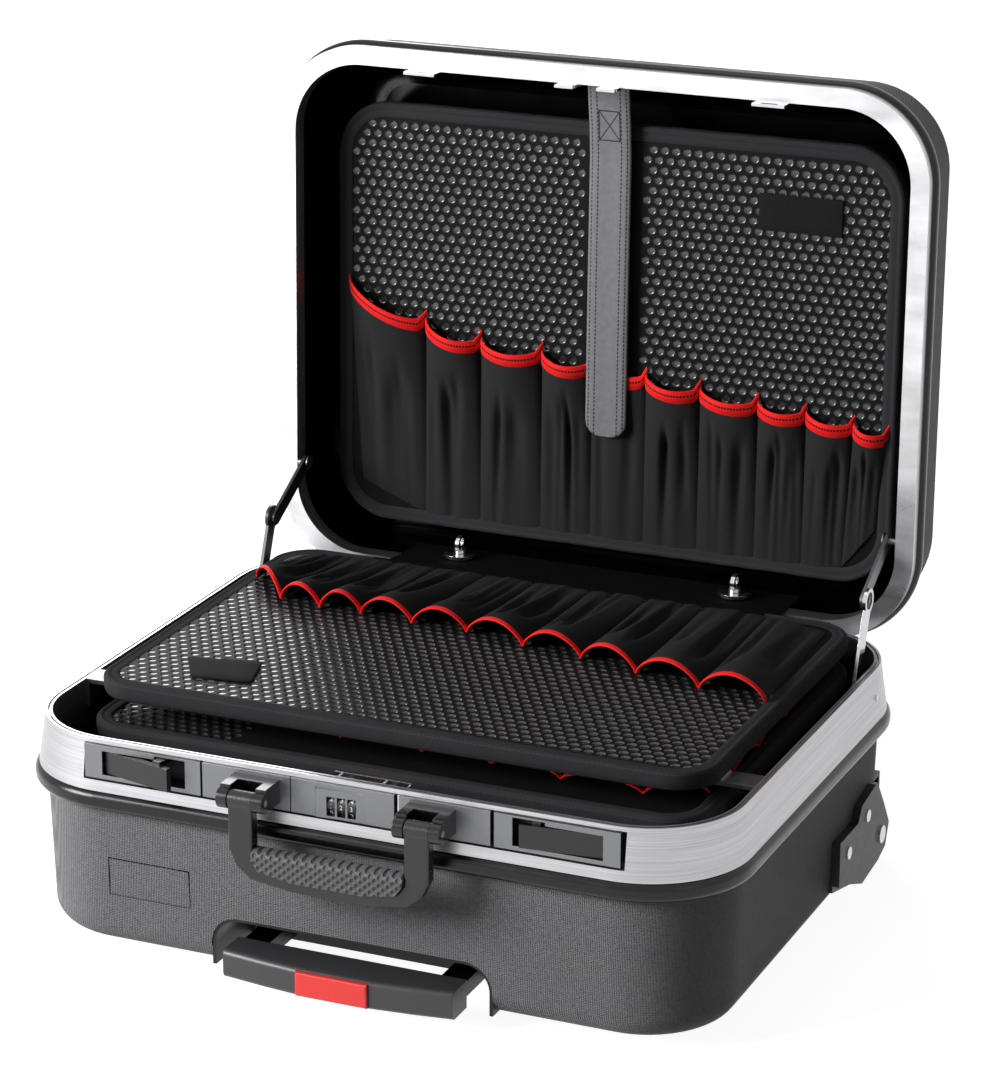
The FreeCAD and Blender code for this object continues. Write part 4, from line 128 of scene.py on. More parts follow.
class Finish:
    """A material with its pattern nodes. Patterns run from 0 to 1, and sizes are in mm."""

    def __init__(self, name, colour, rough, metal=0.0, specular=0.5, edge=0.0):
        self.material = bpy.data.materials.new(name)
        self.material.use_nodes = True
        self.tree = self.material.node_tree
        self.shader = self.tree.nodes["Principled BSDF"]
        self.colour = tone(*colour)
        self.normal = None
        self.shader.inputs["Base Color"].default_value = self.colour
        self.shader.inputs["Roughness"].default_value = rough
        self.shader.inputs["Metallic"].default_value = metal
        self.shader.inputs["Specular IOR Level"].default_value = specular
        if edge:
            rounding = self.node("ShaderNodeBevel", Radius=edge / 1000)
            rounding.samples = 4
            self.normal = rounding.outputs["Normal"]
            self.join(self.normal, self.shader.inputs["Normal"])

    def join(self, source, target):
        self.tree.links.new(source, target)

    def node(self, kind, **values):
        made = self.tree.nodes.new(kind)
        for word, value in values.items():
            socket = made.inputs[word.replace("_", " ")]
            if isinstance(value, bpy.types.NodeSocket):
                self.join(value, socket)
            else:
                socket.default_value = value
        return made

    def sum(self, operation, *values):
        made = self.tree.nodes.new("ShaderNodeMath")
        made.operation = operation
        for socket, value in zip(made.inputs, values):
            if isinstance(value, bpy.types.NodeSocket):
                self.join(value, socket)
            else:
                socket.default_value = value
        return made.outputs[0]

    def place(self, stretch=(1, 1, 1), mapped=False):
        """Places in metres: the object's own, or the cloth's map."""
        source = self.node("ShaderNodeTexCoord").outputs["UV" if mapped else "Object"]
        made = self.node("ShaderNodeMapping", Vector=source, Scale=stretch)
        return made.outputs[0]

    def across(self, mapped=True):
        made = self.node("ShaderNodeSeparateXYZ", Vector=self.place(mapped=mapped))
        return made.outputs

    def noise(self, size, detail=2.0, stretch=(1, 1, 1), mapped=False):
        made = self.node(
            "ShaderNodeTexNoise",
            Vector=self.place(stretch, mapped),
            Scale=1000 / size,
            Detail=detail,
        )
        return made.outputs["Fac"]

    def cells(self, size, mapped=False):
        made = self.node(
            "ShaderNodeTexVoronoi", Vector=self.place(mapped=mapped), Scale=1000 / size
        )
        return made.outputs["Distance"]

    def twill(self, pitch):
        u, v, _ = self.across()
        rising = self.sum("SINE", self.sum("MULTIPLY", self.sum("ADD", u, v), WAVE / pitch))
        falling = self.sum(
            "SINE", self.sum("MULTIPLY", self.sum("SUBTRACT", u, v), 2 * WAVE / pitch)
        )
        both = self.sum("MULTIPLY_ADD", rising, 0.33, self.sum("MULTIPLY", falling, 0.17))
        return self.sum("ADD", both, 0.5)

    def weave(self, pitch):
        u, v, _ = self.across()
        waves = [
            self.sum("SINE", self.sum("MULTIPLY", part, WAVE / pitch)) for part in (u, v)
        ]
        return self.sum("MULTIPLY_ADD", self.sum("MULTIPLY", *waves), 0.5, 0.5)

    def pebbles(self, pitch):
        """Small bumps in slanting rows, round the outside of a moulding."""
        x, y, z = self.across(mapped=False)
        around = self.sum("MULTIPLY", self.sum("ADD", x, y), WAVE / pitch)
        rising = self.sum("MULTIPLY", z, WAVE / pitch)
        waves = [
            self.sum("SINE", self.sum(way, around, rising)) for way in ("ADD", "SUBTRACT")
        ]
        return self.sum("MULTIPLY_ADD", self.sum("MULTIPLY", *waves), 0.5, 0.5)

    def stitches(self, lines, width=0.7, step=3.4, sewn=0.66):
        """1 on the threads of seams at these places across the cloth's map."""
        u, v, _ = self.across()
        along = self.sum("FRACT", self.sum("MULTIPLY", u, 1000 / step))
        dash = self.sum("LESS_THAN", along, sewn)
        found = None
        for line in lines:
            mark = self.sum("COMPARE", v, line / 1000, width / 2000)
            found = mark if found is None else self.sum("MAXIMUM", found, mark)
        return self.sum("MULTIPLY", found, dash)

    def box_stitch(self, along, across, length, width):
        """1 on the threads of a sewn box with a cross in it, given its middle and halves."""
        u, v, _ = self.across()
        x = self.sum("ABSOLUTE", self.sum("MULTIPLY_ADD", u, 1000, -along))
        y = self.sum("ABSOLUTE", self.sum("MULTIPLY_ADD", v, 1000, -across))
        cross = self.sum("COMPARE", self.sum("MULTIPLY", x, width / length), y, 0.5)
        end = self.sum("COMPARE", x, length, 0.5)
        side = self.sum("COMPARE", y, width, 0.5)
        lines = self.sum("MAXIMUM", cross, self.sum("MAXIMUM", end, side))
        inside = self.sum("LESS_THAN", x, length + 0.5)
        within = self.sum("MULTIPLY", inside, self.sum("LESS_THAN", y, width + 0.5))
        return self.sum("MULTIPLY", lines, within)

    def dimples(self, pitch_x, pitch_z, radius):
        """1 in the middle of staggered round dimples and 0 between them."""
        x, _, z = self.across(mapped=False)
        found = None
        for shift in (0, 0.5):
            parts = []
            for line, pitch in ((x, pitch_x), (z, pitch_z)):
                share = self.sum("MULTIPLY_ADD", line, 1000 / pitch, shift)
                off = self.sum("SUBTRACT", self.sum("FRACT", share), 0.5)
                parts.append(self.sum("POWER", self.sum("MULTIPLY", off, pitch / radius), 2))
            gap = self.sum("ADD", *parts)
            found = gap if found is None else self.sum("MINIMUM", found, gap)
        return self.sum("MAXIMUM", self.sum("SUBTRACT", 1, found), 0)

    def shade(self, pattern, low, high, colour=None):
        """The colour runs from low to high times itself, or to another colour."""
        ramp = self.node("ShaderNodeValToRGB", Fac=pattern)
        first, last = ramp.color_ramp.elements
        first.color = [c * low for c in self.colour[:3]] + [1]
        last.color = tone(*colour) if colour else [c * high for c in self.colour[:3]] + [1]
        self.join(ramp.outputs["Color"], self.shader.inputs["Base Color"])
        return self

    def over(self, mask, colour):
        """Another colour where the mask is 1."""
        made = self.tree.nodes.new("ShaderNodeMix")
        made.data_type = "RGBA"
        under = self.shader.inputs["Base Color"]
        if under.is_linked:
            self.join(under.links[0].from_socket, made.inputs[6])
        else:
            made.inputs[6].default_value = self.colour
        made.inputs[7].default_value = tone(*colour)
        self.join(mask, made.inputs[0])
        self.join(made.outputs[2], under)
        return self

    def gloss(self, pattern, low, high):
        made = self.node("ShaderNodeMapRange", Value=pattern, To_Min=low, To_Max=high)
        self.join(made.outputs[0], self.shader.inputs["Roughness"])
        return self

    def bump(self, pattern, depth, strength=1.0):
        made = self.node(
            "ShaderNodeBump", Height=pattern, Distance=depth / 1000, Strength=strength
        )
        if self.normal is not None:
            self.join(self.normal, made.inputs["Normal"])
        self.normal = made.outputs["Normal"]
        self.join(self.normal, self.shader.inputs["Normal"])
        return self

    def sheen(self, weight, rough=0.4):
        self.shader.inputs["Sheen Weight"].default_value = weight
        self.shader.inputs["Sheen Roughness"].default_value = rough
        return self


def brushed(name, colour, rough, stretch):
    made = Finish(name, colour, rough, metal=1.0)
    streak = made.noise(1.0, 4.0, stretch)
    made.shade(streak, 0.45, 1.42)
    made.gloss(made.noise(1.4, 3.0, stretch), rough - 0.08, rough + 0.12)
    made.bump(streak, 0.04, 0.7)
    return made


def cloth(name, colour, pitch=0.9, rough=0.85, sheen=0.0):
    made = Finish(name, colour, rough, specular=0.05)
    twill = made.twill(pitch)
    made.shade(twill, 0.25, 1.9)
    made.bump(twill, 0.2, 0.9)
    made.bump(made.noise(6, 3.0, mapped=True), 0.25, 0.5)
    return made.sheen(sheen)


rim_metal = brushed("rim_metal", (180, 180, 183), 0.3, (0.01, 0.01, 2.2))
lid_rim_metal = brushed("lid_rim_metal", (212, 212, 215), 0.28, (0.02, 2.2, 0.02))

plate_metal = Finish("plate_metal", (120, 121, 124), 0.42, metal=1.0, edge=0.4)
plate_metal.shade(plate_metal.noise(0.5, 2.0), 0.6, 1.35)
plate_metal.gloss(plate_metal.noise(2.5, 3.0), 0.34, 0.52)
plate_metal.bump(plate_metal.noise(0.5, 2.0), 0.05, 0.5)

shell_plastic = Finish("shell_plastic", (116, 116, 118), 0.52, specular=0.04)
pebbles_and_shade = shell_plastic.pebbles(2.5)
mottle = shell_plastic.sum("MULTIPLY", shell_plastic.noise(2.2, 3.0), 0.5)
# painted highlight and shade: the pebbles' crests are coloured lighter and the hollows between
# them darker; the mottle is the plastic's own uneven tone
shell_plastic.shade(shell_plastic.sum("MULTIPLY_ADD", pebbles_and_shade, 0.5, mottle), 0.35, 1.7)
shell_plastic.gloss(pebbles_and_shade, 0.58, 0.38)
shell_plastic.bump(pebbles_and_shade, 0.7, 1.0)

inner_plastic = Finish("inner_plastic", (4, 4, 5), 0.14, specular=0.5)
inner_plastic.gloss(inner_plastic.noise(30, 3.0), 0.1, 0.2)
inner_plastic.bump(inner_plastic.noise(3.0, 2.0), 0.04, 0.4)

bead_plastic = Finish("bead_plastic", (9, 9, 10), 0.18, specular=0.35)
bead_plastic.gloss(bead_plastic.noise(14, 3.0), 0.15, 0.3)
bead_plastic.bump(bead_plastic.noise(1.2, 2.0), 0.02, 0.5)

bracket_plastic = Finish("bracket_plastic", (6, 6, 7), 0.2, specular=0.5, edge=0.9)
bracket_plastic.gloss(bracket_plastic.noise(4, 3.0), 0.15, 0.26)
bracket_plastic.bump(bracket_plastic.noise(0.8, 2.0), 0.02, 0.5)

housing_plastic = Finish("housing_plastic", (22, 22, 23), 0.4, specular=0.35, edge=0.4)
housing_plastic.gloss(housing_plastic.noise(5, 3.0), 0.36, 0.5)
housing_plastic.bump(housing_plastic.cells(0.9), 0.05, 0.6)

lever_plastic = Finish("lever_plastic", (16, 16, 17), 0.26, specular=0.5, edge=0.5)
lever_plastic.gloss(lever_plastic.noise(5, 3.0), 0.2, 0.34)
lever_plastic.bump(lever_plastic.noise(0.9, 2.0), 0.02, 0.5)

bright_steel = Finish("bright_steel", (206, 206, 208), 0.18, metal=1.0, edge=0.25)
bright_steel.shade(bright_steel.noise(4, 3.0), 0.86, 1.04)
bright_steel.gloss(bright_steel.noise(2, 3.0), 0.12, 0.26)

stay_steel = Finish("stay_steel", (120, 120, 123), 0.34, metal=1.0, edge=0.3)
stay_steel.shade(stay_steel.noise(3, 3.0), 0.7, 1.15)
stay_steel.gloss(stay_steel.noise(2, 3.0), 0.26, 0.44)
stay_black = Finish("stay_black", (24, 24, 25), 0.34, specular=0.5, edge=0.3)
stay_black.gloss(stay_black.noise(2, 3.0), 0.28, 0.42)
stay_black.bump(stay_black.noise(1, 2.0), 0.03, 0.5)

handle_paint = Finish("handle_paint", (26, 26, 27), 0.24, specular=0.5, edge=1.2)
handle_paint.gloss(handle_paint.noise(3, 3.0), 0.2, 0.32)
handle_paint.bump(handle_paint.noise(0.7, 2.0), 0.03, 0.6)

grip_rubber = Finish("grip_rubber", (80, 80, 82), 0.5, specular=0.4)
pits = grip_rubber.dimples(6.4, 5.6, 1.9)
# painted shade: the rubber is coloured darker in the middle of each dimple and a little
# lighter between them
grip_rubber.shade(pits, 1.15, 0.25)
grip_rubber.bump(grip_rubber.sum("SUBTRACT", 1, pits), 1.1, 1.0)

trolley_plastic = Finish("trolley_plastic", (52, 52, 54), 0.3, specular=0.5, edge=1.0)
trolley_plastic.gloss(trolley_plastic.noise(6, 3.0), 0.3, 0.44)
trolley_plastic.bump(trolley_plastic.cells(0.8), 0.04, 0.5)

button_red = Finish("button_red", (228, 56, 54), 0.34, specular=0.5, edge=0.6)
button_red.gloss(button_red.noise(6, 3.0), 0.28, 0.42)
button_red.bump(button_red.noise(0.8, 2.0), 0.02, 0.5)

tube_metal = brushed("tube_metal", (150, 150, 153), 0.36, (0.3, 0.01, 0.3))
tube_black = brushed("tube_black", (40, 40, 42), 0.34, (0.3, 0.01, 0.3))

foam = Finish("board_backing", (13, 13, 14), 0.8, specular=0.12)
foam.shade(foam.noise(1.2, 3.0), 0.6, 1.4)
foam.bump(foam.noise(0.9, 3.0), 0.2, 0.7)

# painted highlight: the pits are the same black plastic as the land between them, coloured a
# lighter grey to stand in for their reflections
pit_painted_highlight = Finish("pit_painted_highlight", (48, 48, 50), 0.18, specular=0.6)
pit_painted_highlight.gloss(pit_painted_highlight.noise(8, 3.0, mapped=True), 0.14, 0.24)
pit_painted_highlight.bump(pit_painted_highlight.noise(1.0, 2.0, mapped=True), 0.02, 0.5)

land_plastic = Finish("land_plastic", (20, 20, 21), 0.5, specular=0.05)
land_plastic.gloss(land_plastic.noise(8, 3.0, mapped=True), 0.45, 0.6)
land_plastic.bump(land_plastic.noise(0.8, 2.0, mapped=True), 0.04, 0.6)

pocket_fabric = cloth("pocket_fabric", (40, 40, 41), 2.0)
flap_fabric = cloth("flap_fabric", (7, 7, 8), 0.9)
flap_fabric.over(flap_fabric.stitches([361], width=0.8), (70, 70, 72))

binding_fabric = cloth("binding_fabric", (50, 50, 52), 1.3)
binding_fabric.bump(binding_fabric.noise(0.9, 3.0, mapped=True), 0.3, 0.8)
binding_seam = binding_fabric.stitches([17.6])
binding_fabric.over(binding_seam, (66, 66, 68)).bump(binding_seam, 0.25, 0.8)

tape_red = Finish("tape_red", (240, 24, 22), 0.62, specular=0.2)
tape_weave = tape_red.weave(0.7)
tape_red.shade(tape_weave, 0.8, 1.12)
tape_seam = tape_red.stitches([3.6], width=0.9, step=2.6, sewn=0.78)
tape_red.over(tape_seam, (24, 8, 8)).bump(tape_weave, 0.08, 0.6).sheen(0.1)

strap_leather = Finish("strap_leather", (112, 112, 115), 0.5, specular=0.35)
leather = strap_leather.cells(1.3, mapped=True)
strap_leather.shade(strap_leather.noise(5, 4.0, mapped=True), 0.72, 1.2)
strap_seam = strap_leather.stitches([2.4, 29.6, 7, 25], width=1.0, step=3.0)
strap_leather.over(strap_seam, (10, 10, 11)).bump(leather, 0.12, 0.6)
strap_leather.bump(strap_seam, -0.2, 0.8)
strap_leather.over(strap_leather.box_stitch(352, 16, 11, 8), (12, 12, 13))

hook_patch = Finish("hook_patch", (14, 14, 15), 0.9, specular=0.2)
fuzz = hook_patch.noise(0.9, 4.0)
hook_patch.shade(fuzz, 0.3, 2.2)
hook_patch.bump(fuzz, 0.5, 0.9)

floor_board = Finish("floor_board", (16, 16, 17), 0.7, specular=0.12)
floor_board.shade(floor_board.noise(2, 4.0), 0.6, 1.4)
floor_board.bump(floor_board.noise(1.4, 4.0), 0.15, 0.6)

wheel_plastic = Finish("wheel_plastic", (26, 26, 27), 0.38, specular=0.5, edge=0.6)
wheel_plastic.gloss(wheel_plastic.noise(5, 3.0), 0.32, 0.46)
wheel_plastic.bump(wheel_plastic.cells(0.9), 0.05, 0.6)

tyre_rubber = Finish("tyre_rubber", (24, 24, 25), 0.75, specular=0.3)
tyre_rubber.shade(tyre_rubber.noise(3, 4.0), 0.7, 1.4)
tyre_rubber.bump(tyre_rubber.noise(0.7, 4.0), 0.12, 0.6)

number_plastic = Finish("number_plastic", (14, 14, 15), 0.34, specular=0.5, edge=0.2)
number_plastic.gloss(number_plastic.noise(2, 3.0), 0.28, 0.4)
number_plastic.bump(number_plastic.noise(0.5, 2.0), 0.02, 0.5)

number_white = Finish("number_white", (225, 225, 222), 0.5)
number_white.shade(number_white.noise(0.6, 3.0), 0.86, 1.04)

FINISHES = {
    rim_metal: ["base_frame"],
    lid_rim_metal: ["lid_frame"],
    plate_metal: ["bracket_plates", "lock_housing"],
    shell_plastic: ["base_shell", "lid_shell"],
    bead_plastic: ["base_bead", "lid_bead"],
    bracket_plastic: ["handle_brackets"],
    housing_plastic: [
        "latch_plate_left",
        "latch_plate_right",
        "trolley_bay",
        "wheel_housings",
    ],
    lever_plastic: ["latch_lever_left", "latch_lever_right"],
    bright_steel: [
        "latch_keepers",
        "lock_keepers",
        "stud_bases",
        "stud_tab_left",
        "stud_tab_right",
        "stay_links_lower",
        "hinge_pin",
        "lock_axle",
        "lock_bolt",
        "pivot_pins",
        "rivets",
        "wheel_axles",
    ],
    stay_steel: ["stay_pivots_base", "stay_pivots_lid", "stay_links_upper", "board_brackets"],
    handle_paint: ["handle_frame"],
    grip_rubber: ["handle_grip"],
    trolley_plastic: ["trolley_grip", "front_feet", "lid_board_posts"],
    button_red: ["trolley_button"],
    tube_metal: [
        "trolley_outer_tubes",
        "trolley_mid_tubes",
        "hinge_leaf_base",
        "hinge_leaf_lid",
    ],
    foam: ["lid_board_panel", "middle_board_panel", "lower_board_panel"],
    tube_black: ["trolley_inner_tubes"],
    floor_board: ["floor_panel", "dividers"],
    wheel_plastic: ["wheel_hub_left", "wheel_hub_right"],
    tyre_rubber: ["tyre_left", "tyre_right"],
    number_plastic: ["number_wheel_1", "number_wheel_2", "number_wheel_3"],
}
for finish, names in FINISHES.items():
    for name in names:
        nodes[name].data.materials.clear()
        nodes[name].data.materials.append(finish.material)


PLATE_SKIN = 0.0012


def line_inside(name, middle):
    """The smooth inner finish on the faces that look at the middle of a hollow."""
    mesh = nodes[name].data
    mesh.materials.append(inner_plastic.material)
    for face in mesh.polygons:
        if face.normal.dot(middle - face.center) > 0:
            face.material_index = 1


def face_with(names, finish, chosen):
    """Another finish on the faces that are chosen by their middle."""
    for name in names:
        mesh = nodes[name].data
        mesh.materials.append(finish.material)
        first = min(corner.co.y for corner in mesh.vertices)
        for face in mesh.polygons:
            if chosen(face.center, first):
                face.material_index = 1


line_inside("base_shell", base(0, FRAME_DEPTH / 2, -70))
line_inside("lid_shell", lid(0, FRAME_DEPTH / 2, 45))
face_with(
    ["latch_plate_left", "latch_plate_right"],
    plate_metal,
    lambda middle, first: middle.y < first + PLATE_SKIN,
)
face_with(
    ["stay_links_lower", "stay_links_upper"], stay_black, lambda middle, first: middle.x < 0
)


# Meshes


class Skin:
    """Points and faces gathered for one mesh, with a map in metres."""

    def __init__(self):
        self.points = []
        self.maps = []
        self.faces = []
        self.flat = set()

    def point(self, spot, u, v):
        self.points.append(spot)
        self.maps.append((u / 1000, v / 1000))
        return len(self.points) - 1

    def lines(self, rows):
        """Faces between rows of points that are already in the skin."""
        for near, far in zip(rows, rows[1:]):
            for a, b, c, d in zip(near, near[1:], far[1:], far):
                self.faces.append((a, b, c, d))

    def made(self, name, body, slot, finish):
        mesh = bpy.data.meshes.new(name)
        mesh.from_pydata(self.points, [], self.faces)
        layer = mesh.uv_layers.new(name="cloth")
        for loop in mesh.loops:
            layer.data[loop.index].uv = self.maps[loop.vertex_index]
        for face in mesh.polygons:
            face.use_smooth = face.index not in self.flat
        mesh.materials.append(finish.material)
        piece = bpy.data.objects.new(name, mesh)
        bpy.context.scene.collection.objects.link(piece)
        if body:
            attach(piece, body)
        return piece


# Pitted boards. Each cell is a hexagon, and its pit is four rings and a middle.
PIT_PITCH = 8.6
PIT_SIDES = 12
PIT_RINGS = [(3.25, 0), (3.05, 0.35), (2.6, 0.72), (1.8, 0.82)]
PIT_DEPTH = 0.86
SKIN_LIFT = 1.5
CELL_INSET = 4.6
PIT_INSET = 8.5


def inset_of(board, u, v):
    """How far a place is inside a board's outline."""
    half, near, far, radius, _ = board
    side = half - abs(u)
    end = min(v - near, far - v)
    if side < radius and end < radius:
        return radius - math.hypot(radius - side, radius - end)
    return min(side, end)


def pitted_skin(name, body, board, place, pitted):
    skin = Skin()
    corners = {}
    half, near, far, _, _ = board
    reach = PIT_PITCH / math.sqrt(3)
    row_pitch = PIT_PITCH * math.sqrt(3) / 2
    for j in range(int((far - near) / row_pitch) + 1):
        v = near + j * row_pitch
        for i in range(-int(half / PIT_PITCH) - 1, int(half / PIT_PITCH) + 2):
            u = (i + (j % 2) / 2) * PIT_PITCH
            inset = inset_of(board, u, v)
            if inset < CELL_INSET:
                continue
            outer = []
            for k in range(6):
                turn = math.radians(30 + 60 * k)
                x, y = u + reach * math.cos(turn), v + reach * math.sin(turn)
                key = (round(x, 1), round(y, 1))
                if key not in corners:
                    corners[key] = skin.point(place(x, y, SKIN_LIFT), x, y)
                outer.append(corners[key])
            if inset < PIT_INSET or not pitted(u, v):
                skin.flat.add(len(skin.faces))
                skin.faces.append(tuple(outer))
                continue
            rings = []
            for radius, depth in PIT_RINGS:
                ring = []
                for k in range(PIT_SIDES):
                    turn = math.radians(360 * k / PIT_SIDES)
                    x = u + radius * math.cos(turn)
                    y = v + radius * math.sin(turn)
                    ring.append(skin.point(place(x, y, SKIN_LIFT - depth), x, y))
                rings.append(ring)
            for k in range(6):
                a, b, c = (rings[0][(2 * k + step) % PIT_SIDES] for step in (1, 2, 3))
                skin.flat.add(len(skin.faces))
                skin.faces.append((outer[k], outer[(k + 1) % 6], c, b, a))
            for wide, small in zip(rings, rings[1:]):
                for k in range(PIT_SIDES):
                    n = (k + 1) % PIT_SIDES
                    skin.faces.append((wide[k], wide[n], small[n], small[k]))
            middle = skin.point(place(u, v, SKIN_LIFT - PIT_DEPTH), u, v)
            for k in range(PIT_SIDES):
                skin.faces.append((rings[-1][k], rings[-1][(k + 1) % PIT_SIDES], middle))
    # The pit faces take the lighter grey of the painted highlight, and the flat faces the
    # land's own black.
    piece = skin.made(name, body, "board_foam", pit_painted_highlight)
    piece.data.materials.append(land_plastic.material)
    for face in skin.flat:
        piece.data.polygons[face].material_index = 1
    return piece


# The binding's section, from the board's back round its edge to the tape on its face:
# (outward from the outline, above the face).
def binding_section(thickness):
    back = -thickness
    return [
        (-7, back + 0.05),
        (-2.5, back - 0.35),
        (-0.6, back - 0.1),
        (0.5, back + 1.2),
        (0.9, back / 2),
        (0.9, -0.2),
        (0.6, 1.6),
        (-0.4, 2.9),
        (-1.8, 3.5),
        (-3.2, 3.2),
        (-4.0, 2.5),
        (-4.8, 2.7),
        (-7.2, 2.7),
        (-9.6, 2.55),
        (-10.2, 1.85),
    ]


CORNER_STEPS = 12
BINDING_STEP = 7
BINDING_WOBBLE = 0.22


def binding(name, body, board, place, height=1.0):
    """height: how high it stands above the face, as a share of its section."""
    half, near, far, radius, thickness = board
    path = []
    middles = [
        (half - radius, near + radius, -90),
        (half - radius, far - radius, 0),
        (radius - half, far - radius, 90),
        (radius - half, near + radius, 180),
    ]
    for order, (u, v, start) in enumerate(middles):
        for k in range(CORNER_STEPS + 1):
            turn = math.radians(start + 90 * k / CORNER_STEPS)
            path.append((u + radius * math.cos(turn), v + radius * math.sin(turn), turn))
        u, v, turn = path[-1]
        next_u, next_v, next_start = middles[(order + 1) % 4]
        end_u = next_u + radius * math.cos(math.radians(next_start))
        end_v = next_v + radius * math.sin(math.radians(next_start))
        steps = int(math.hypot(end_u - u, end_v - v) / BINDING_STEP)
        for k in range(1, steps):
            path.append((mixed(u, end_u, k / steps), mixed(v, end_v, k / steps), turn))
    path.append(path[0])
    chance = random.Random(name)
    section = [
        (out, high * height if high > 0 else high)
        for out, high in binding_section(thickness)
    ]
    skin = Skin()
    rows = []
    along = 0
    for order, (u, v, turn) in enumerate(path):
        if order:
            along += math.hypot(u - path[order - 1][0], v - path[order - 1][1])
        ends = (0, len(path) - 1)
        wobble = 0 if order in ends else chance.uniform(-BINDING_WOBBLE, BINDING_WOBBLE)
        row = []
        across = 0
        for step, (out, high) in enumerate(section):
            if step:
                across += math.dist(section[step - 1], section[step])
            shift = out + (wobble if 2 < step < 13 else 0)
            spot = place(u + shift * math.cos(turn), v + shift * math.sin(turn), high)
            row.append(skin.point(spot, along, across))
        rows.append(row)
    skin.lines([row[::-1] for row in rows])
    return skin.made(name, body, "pocket_fabric", binding_fabric)


# Folds in a pocket's cloth, as shares of its width and depth.
FOLD_COUNTS = (4, 5, 6)
FOLD_START = (0.12, 0.88)
FOLD_LEAN = 0.16
FOLD_THIN = (0.045, 0.1)
FOLD_UPPER = (0.08, 0.3)
FOLD_STRENGTH = (0.7, 1.2)
CLOTH_FULLNESS = 1.2

# Sewn pockets. A pocket's cloth runs from its open mouth to its floor between two seams,
# bulges between them and falls into folds, and a red tape binds its mouth.
TAPE_SECTION = [
    (5.2, 0.3), (5.0, 0.75), (2.6, 0.95), (0.2, 0.8), (-0.4, 0), (0.2, -0.6), (3, -0.5),
]


POCKET_COLUMNS = 26
POCKET_ROWS = 22
POCKET_LIFT = 2.1


def pocket(cloth, tape, place, mouth, floor, shape, chance):
    """shape: rise at the mouth, rise along the cloth, rise at the floor, length over which
    the mouth falls, sag of the mouth, kick at its right end, width of the tape."""
    lip, body_rise, end_rise, fall, sag, kick, tape_width = shape
    width = math.dist(*mouth)
    folds = []
    for _ in range(chance.choice(FOLD_COUNTS)):
        at = chance.uniform(*FOLD_START)
        folds.append(
            (at, at + chance.uniform(-FOLD_LEAN, FOLD_LEAN), chance.uniform(*FOLD_THIN),
             chance.uniform(*FOLD_UPPER), chance.uniform(*FOLD_STRENGTH))
        )

    def spot(share, depth):
        left = [mixed(a, b, depth) for a, b in zip(mouth[0], floor[0])]
        right = [mixed(a, b, depth) for a, b in zip(mouth[1], floor[1])]
        u, v = (mixed(a, b, share) for a, b in zip(left, right))
        top = [mixed(a, b, share) for a, b in zip(*mouth)]
        end = [mixed(a, b, share) for a, b in zip(*floor)]
        run = math.dist(top, end)
        arch = max(math.sin(math.pi * share), 0)
        slack = (1 - depth) ** 3
        pull = (sag * arch**0.5 - kick * eased((share - 0.92) / 0.08)) * slack
        u += (end[0] - top[0]) / run * pull
        v += (end[1] - top[1]) / run * pull
        away = depth * run
        rise = body_rise + (end_rise - body_rise) * depth**0.8
        rise += (lip - body_rise) * math.exp(-away / fall)
        high = POCKET_LIFT + 0.5 * math.exp(-away / fall) + arch**0.62 * rise
        for start, finish, thin, upper, strength in folds:
            line = mixed(finish, start, depth)
            grip = eased((depth - upper) / 0.25) * (1 - 0.6 * depth)
            dent = math.exp(-(((share - line) / thin) ** 2)) * grip * arch
            high -= strength * dent * min(rise, 9) * 0.9
        return place(u, v, max(high, 2.0)), run

    grid = []
    for j in range(POCKET_ROWS + 1):
        depth = (j / POCKET_ROWS) ** 1.25
        row = []
        for i in range(POCKET_COLUMNS + 1):
            share = i / POCKET_COLUMNS
            here, run = spot(share, depth)
            along = mouth[0][0] + share * width * CLOTH_FULLNESS
            row.append(cloth.point(here, along, depth * run))
        grid.append(row)
    cloth.lines([row[::-1] for row in grid])
    rows = []
    for i in range(POCKET_COLUMNS + 1):
        share = i / POCKET_COLUMNS
        here, run = spot(share, 0)
        inner, _ = spot(share, 4 / run)
        before, _ = spot(max(share - 0.02, 0), 0)
        after, _ = spot(min(share + 0.02, 1), 0)
        down = (inner - here).normalized()
        out = (after - before).cross(-down).normalized()
        section = [
            here + down * (d * tape_width / 5.2 / 1000) + out * (h / 1000)
            for d, h in TAPE_SECTION
        ]
        across = [0, 0.5, 2.9, 5.3, 6.2, 7.2, 10]
        along = mouth[0][0] + share * width * CLOTH_FULLNESS
        rows.append([tape.point(s, along, a) for s, a in zip(section, across)])
    tape.lines(rows)


def pocket_row(name, body, place, seams, floors, shape, replaced, extra):
    cloth, tape = Skin(), Skin()
    chance = random.Random(name)
    for i in range(len(seams) - 1):
        pocket(cloth, tape, place, seams[i : i + 2], floors[i : i + 2], shape(i), chance)
    for mouth, floor, own in extra:
        pocket(cloth, tape, place, mouth, floor, own, chance)
    sheet = cloth.made(name, body, "pocket_fabric", pocket_fabric)
    edge = tape.made(name + "_tape", body, "pocket_fabric", tape_red)
    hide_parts(replaced)
    return sheet, edge


# The lid's board
LID_SEAMS = [
    (-212, 218), (-148.6, 192.5), (-103.5, 182.1), (-54.2, 178.5), (-14, 174), (28.6, 168.9),
    (71, 164), (116, 159.5), (152.8, 156.4), (189.3, 151.8), (215, 147.2),
]
LID_FLOORS = [
    (-201, 60), (-148, 39), (-103, 39), (-54, 39), (-14, 39), (28.6, 39),
    (71, 39), (116, 39), (152.8, 39), (184, 41), (208, 72),
]
UNDER_STRAP = 4
LID_PATCH = [(112, 285), (175, 285), (175, 312), (112, 312)]


